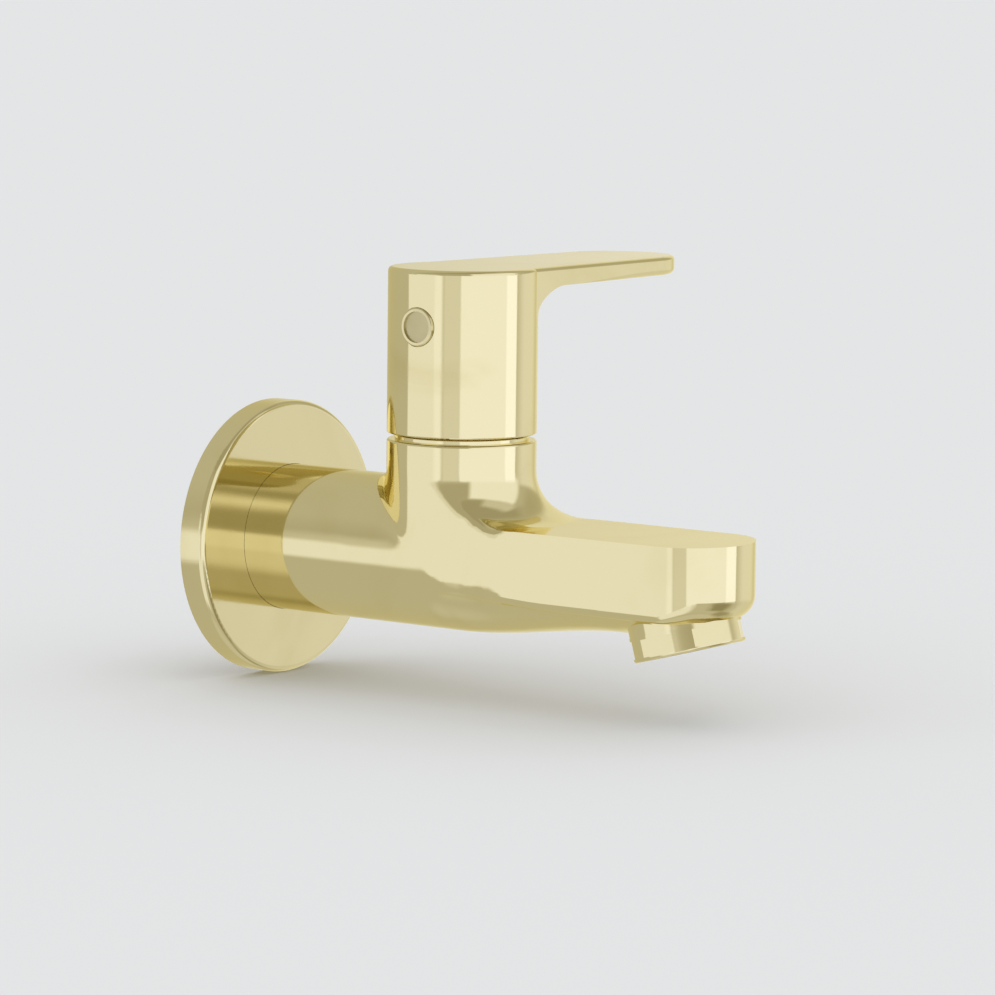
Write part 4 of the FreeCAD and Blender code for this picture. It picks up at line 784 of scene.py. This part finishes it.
# %% Group: soft box
def soft_box():
    """A window in direction: 1 inside its turn and height limits, 0 outside, with soft edges."""
    group, start, end = new_group(
        "soft_box", "ShaderNodeTree",
        [("Turn", "NodeSocketFloat", 0.0), ("Height", "NodeSocketFloat", 0.0),
         ("Middle Turn", "NodeSocketFloat", 0.0), ("Half Turn", "NodeSocketFloat", 30.0),
         ("Turn Edge", "NodeSocketFloat", 5.0), ("Middle Height", "NodeSocketFloat", 0.0),
         ("Half Height", "NodeSocketFloat", 20.0), ("Height Edge", "NodeSocketFloat", 5.0)],
        [("Mask", "NodeSocketFloat")])

    def inside(value, middle, half, edge, round_trip):
        """Soft mask of a value that lies within half of the middle."""
        away = add(group, "ShaderNodeMath", operation="SUBTRACT")
        join(group, value, away.inputs[0])
        join(group, middle, away.inputs[1])
        source = away.outputs["Value"]
        if round_trip:
            wrap = add(group, "ShaderNodeMath", "within half a turn", operation="WRAP")
            wrap.inputs[1].default_value = 180.0
            wrap.inputs[2].default_value = -180.0
            join(group, source, wrap.inputs[0])
            source = wrap.outputs["Value"]
        size = add(group, "ShaderNodeMath", operation="ABSOLUTE")
        join(group, source, size.inputs[0])
        outer = add(group, "ShaderNodeMath", operation="ADD")
        inner = add(group, "ShaderNodeMath", operation="SUBTRACT")
        for node in (outer, inner):
            join(group, half, node.inputs[0])
            join(group, edge, node.inputs[1])
        mask = add(group, "ShaderNodeMapRange", interpolation_type="SMOOTHSTEP")
        join(group, size.outputs["Value"], mask.inputs["Value"])
        join(group, outer.outputs["Value"], mask.inputs["From Min"])
        join(group, inner.outputs["Value"], mask.inputs["From Max"])
        return mask.outputs["Result"]

    across = inside(start.outputs["Turn"], start.outputs["Middle Turn"],
                    start.outputs["Half Turn"], start.outputs["Turn Edge"], True)
    along = inside(start.outputs["Height"], start.outputs["Middle Height"],
                   start.outputs["Half Height"], start.outputs["Height Edge"], False)
    both = add(group, "ShaderNodeMath", operation="MULTIPLY")
    join(group, across, both.inputs[0])
    join(group, along, both.inputs[1])
    join(group, both.outputs["Value"], end.inputs["Mask"])
    return group


BOX = soft_box()

# %% Studio round the tap
AMBIENT = 0.58
WARMTH = (("Red", 0.92), ("Green", 1.0), ("Blue", 1.40))
EVEN_LIGHT = (0.97, 0.98, 1.0, 1.0)
SOFT_BOXES = (
    # name, level, middle turn, half turn, turn edge, middle height, half height, height edge
    ("overhead", 0.41, -15.0, 110.0, 20.0, 72.0, 27.0, 8.0),
    ("over_front", 0.70, 20.0, 32.0, 8.0, 52.0, 8.0, 5.0),
    ("underneath", 0.68, 0.0, 181.0, 1.0, -82.0, 22.0, 6.0),
    ("left_shade", 0.48, -82.0, 50.0, 9.0, 27.0, 19.0, 5.0),
    ("left_low", 1.02, -72.0, 40.0, 6.0, -30.0, 20.0, 6.0),
    ("left_upper", 0.88, -110.0, 18.0, 6.0, 6.0, 8.0, 4.0),
    ("left_box", 1.02, -117.0, 28.0, 1.2, -6.0, 10.0, 3.0),
    ("left_bright", 1.12, -90.0, 6.0, 4.0, -6.0, 9.0, 3.0),
    ("left_gap", 0.83, -69.0, 13.0, 2.5, -5.0, 9.0, 3.0),
    ("front_high", 1.07, 2.0, 42.0, 5.0, 22.0, 22.0, 4.0),
    ("front_box", 1.14, -9.5, 47.0, 1.5, -5.0, 10.0, 3.0),
    ("front_low", 0.62, 2.0, 38.0, 9.0, -34.0, 20.0, 4.0),
    ("front_dark", 0.33, 12.0, 18.0, 10.0, -29.0, 14.0, 5.0),
    ("right_dark", 0.38, 42.0, 20.0, 12.0, -52.0, 8.0, 5.0),
    ("right_shade", 0.50, 76.0, 15.0, 10.0, 31.0, 18.0, 6.0),
    ("right_low", 0.80, 84.0, 36.0, 14.0, -29.0, 15.0, 5.0),
    ("right_box", 0.91, 68.0, 24.0, 14.0, -3.0, 12.0, 4.0),
    ("right_back", 0.86, 113.0, 15.0, 7.0, -2.0, 38.0, 10.0),
    ("front_strip", 1.31, 27.5, 10.0, 1.5, -5.0, 9.0, 4.0),
)


def studio():
    """World: pale to the eye, white for soft light, soft boxes in reflections."""
    world = bpy.data.worlds.new("studio")
    bpy.context.scene.world = world
    world.use_nodes = True
    tree = world.node_tree
    tree.nodes.clear()
    place = add(tree, "ShaderNodeTexCoord")
    parts = add(tree, "ShaderNodeSeparateXYZ")
    join(tree, place.outputs["Generated"], parts.inputs["Vector"])
    ahead = add(tree, "ShaderNodeMath", "away from the wall", operation="MULTIPLY")
    ahead.inputs[1].default_value = -1.0
    join(tree, parts.outputs["Y"], ahead.inputs[0])
    turn = add(tree, "ShaderNodeMath", "turn", operation="ARCTAN2")
    join(tree, parts.outputs["X"], turn.inputs[0])
    join(tree, ahead.outputs["Value"], turn.inputs[1])
    rise = add(tree, "ShaderNodeMath", "height", operation="ARCSINE")
    join(tree, parts.outputs["Z"], rise.inputs[0])
    angles = []
    for angle in (turn, rise):
        degrees = add(tree, "ShaderNodeMath", operation="DEGREES")
        join(tree, angle.outputs["Value"], degrees.inputs[0])
        angles.append(degrees.outputs["Value"])
    level = None
    for name, strength, *window in SOFT_BOXES:
        box = add(tree, "ShaderNodeGroup", name, node_tree=BOX)
        join(tree, angles[0], box.inputs["Turn"])
        join(tree, angles[1], box.inputs["Height"])
        for label, value in zip(("Middle Turn", "Half Turn", "Turn Edge",
                                 "Middle Height", "Half Height", "Height Edge"), window):
            box.inputs[label].default_value = value
        mix = add(tree, "ShaderNodeMix", data_type="FLOAT")
        join(tree, box.outputs["Mask"], mix.inputs["Factor"])
        if level is None:
            mix.inputs[FLOAT_ONE].default_value = AMBIENT
        else:
            join(tree, level, mix.inputs[FLOAT_ONE])
        mix.inputs[FLOAT_TWO].default_value = strength
        level = mix.outputs[FLOAT_OUT]
    tint = add(tree, "ShaderNodeCombineColor", "dim parts are warmer")
    for channel, power in WARMTH:
        curve = add(tree, "ShaderNodeMath", operation="POWER")
        curve.inputs[1].default_value = power
        join(tree, level, curve.inputs[0])
        join(tree, curve.outputs["Value"], tint.inputs[channel])
    mirrored = add(tree, "ShaderNodeBackground", "seen in metal")
    join(tree, tint.outputs["Color"], mirrored.inputs["Color"])
    even = add(tree, "ShaderNodeBackground", "soft light and backdrop")
    even.inputs["Color"].default_value = EVEN_LIGHT
    rays = add(tree, "ShaderNodeLightPath")
    choose = add(tree, "ShaderNodeMixShader")
    join(tree, rays.outputs["Is Glossy Ray"], choose.inputs["Fac"])
    join(tree, even.outputs["Background"], choose.inputs[1])
    join(tree, mirrored.outputs["Background"], choose.inputs[2])
    output = add(tree, "ShaderNodeOutputWorld")
    join(tree, choose.outputs["Shader"], output.inputs["Surface"])


studio()
print("soft boxes:", ", ".join(box[0] for box in SOFT_BOXES))

# %% [markdown]
# ## Finish
# The view transform is Standard, so a colour renders as it is written.

# %% Finish
bpy.context.scene.view_settings.view_transform = "Standard"
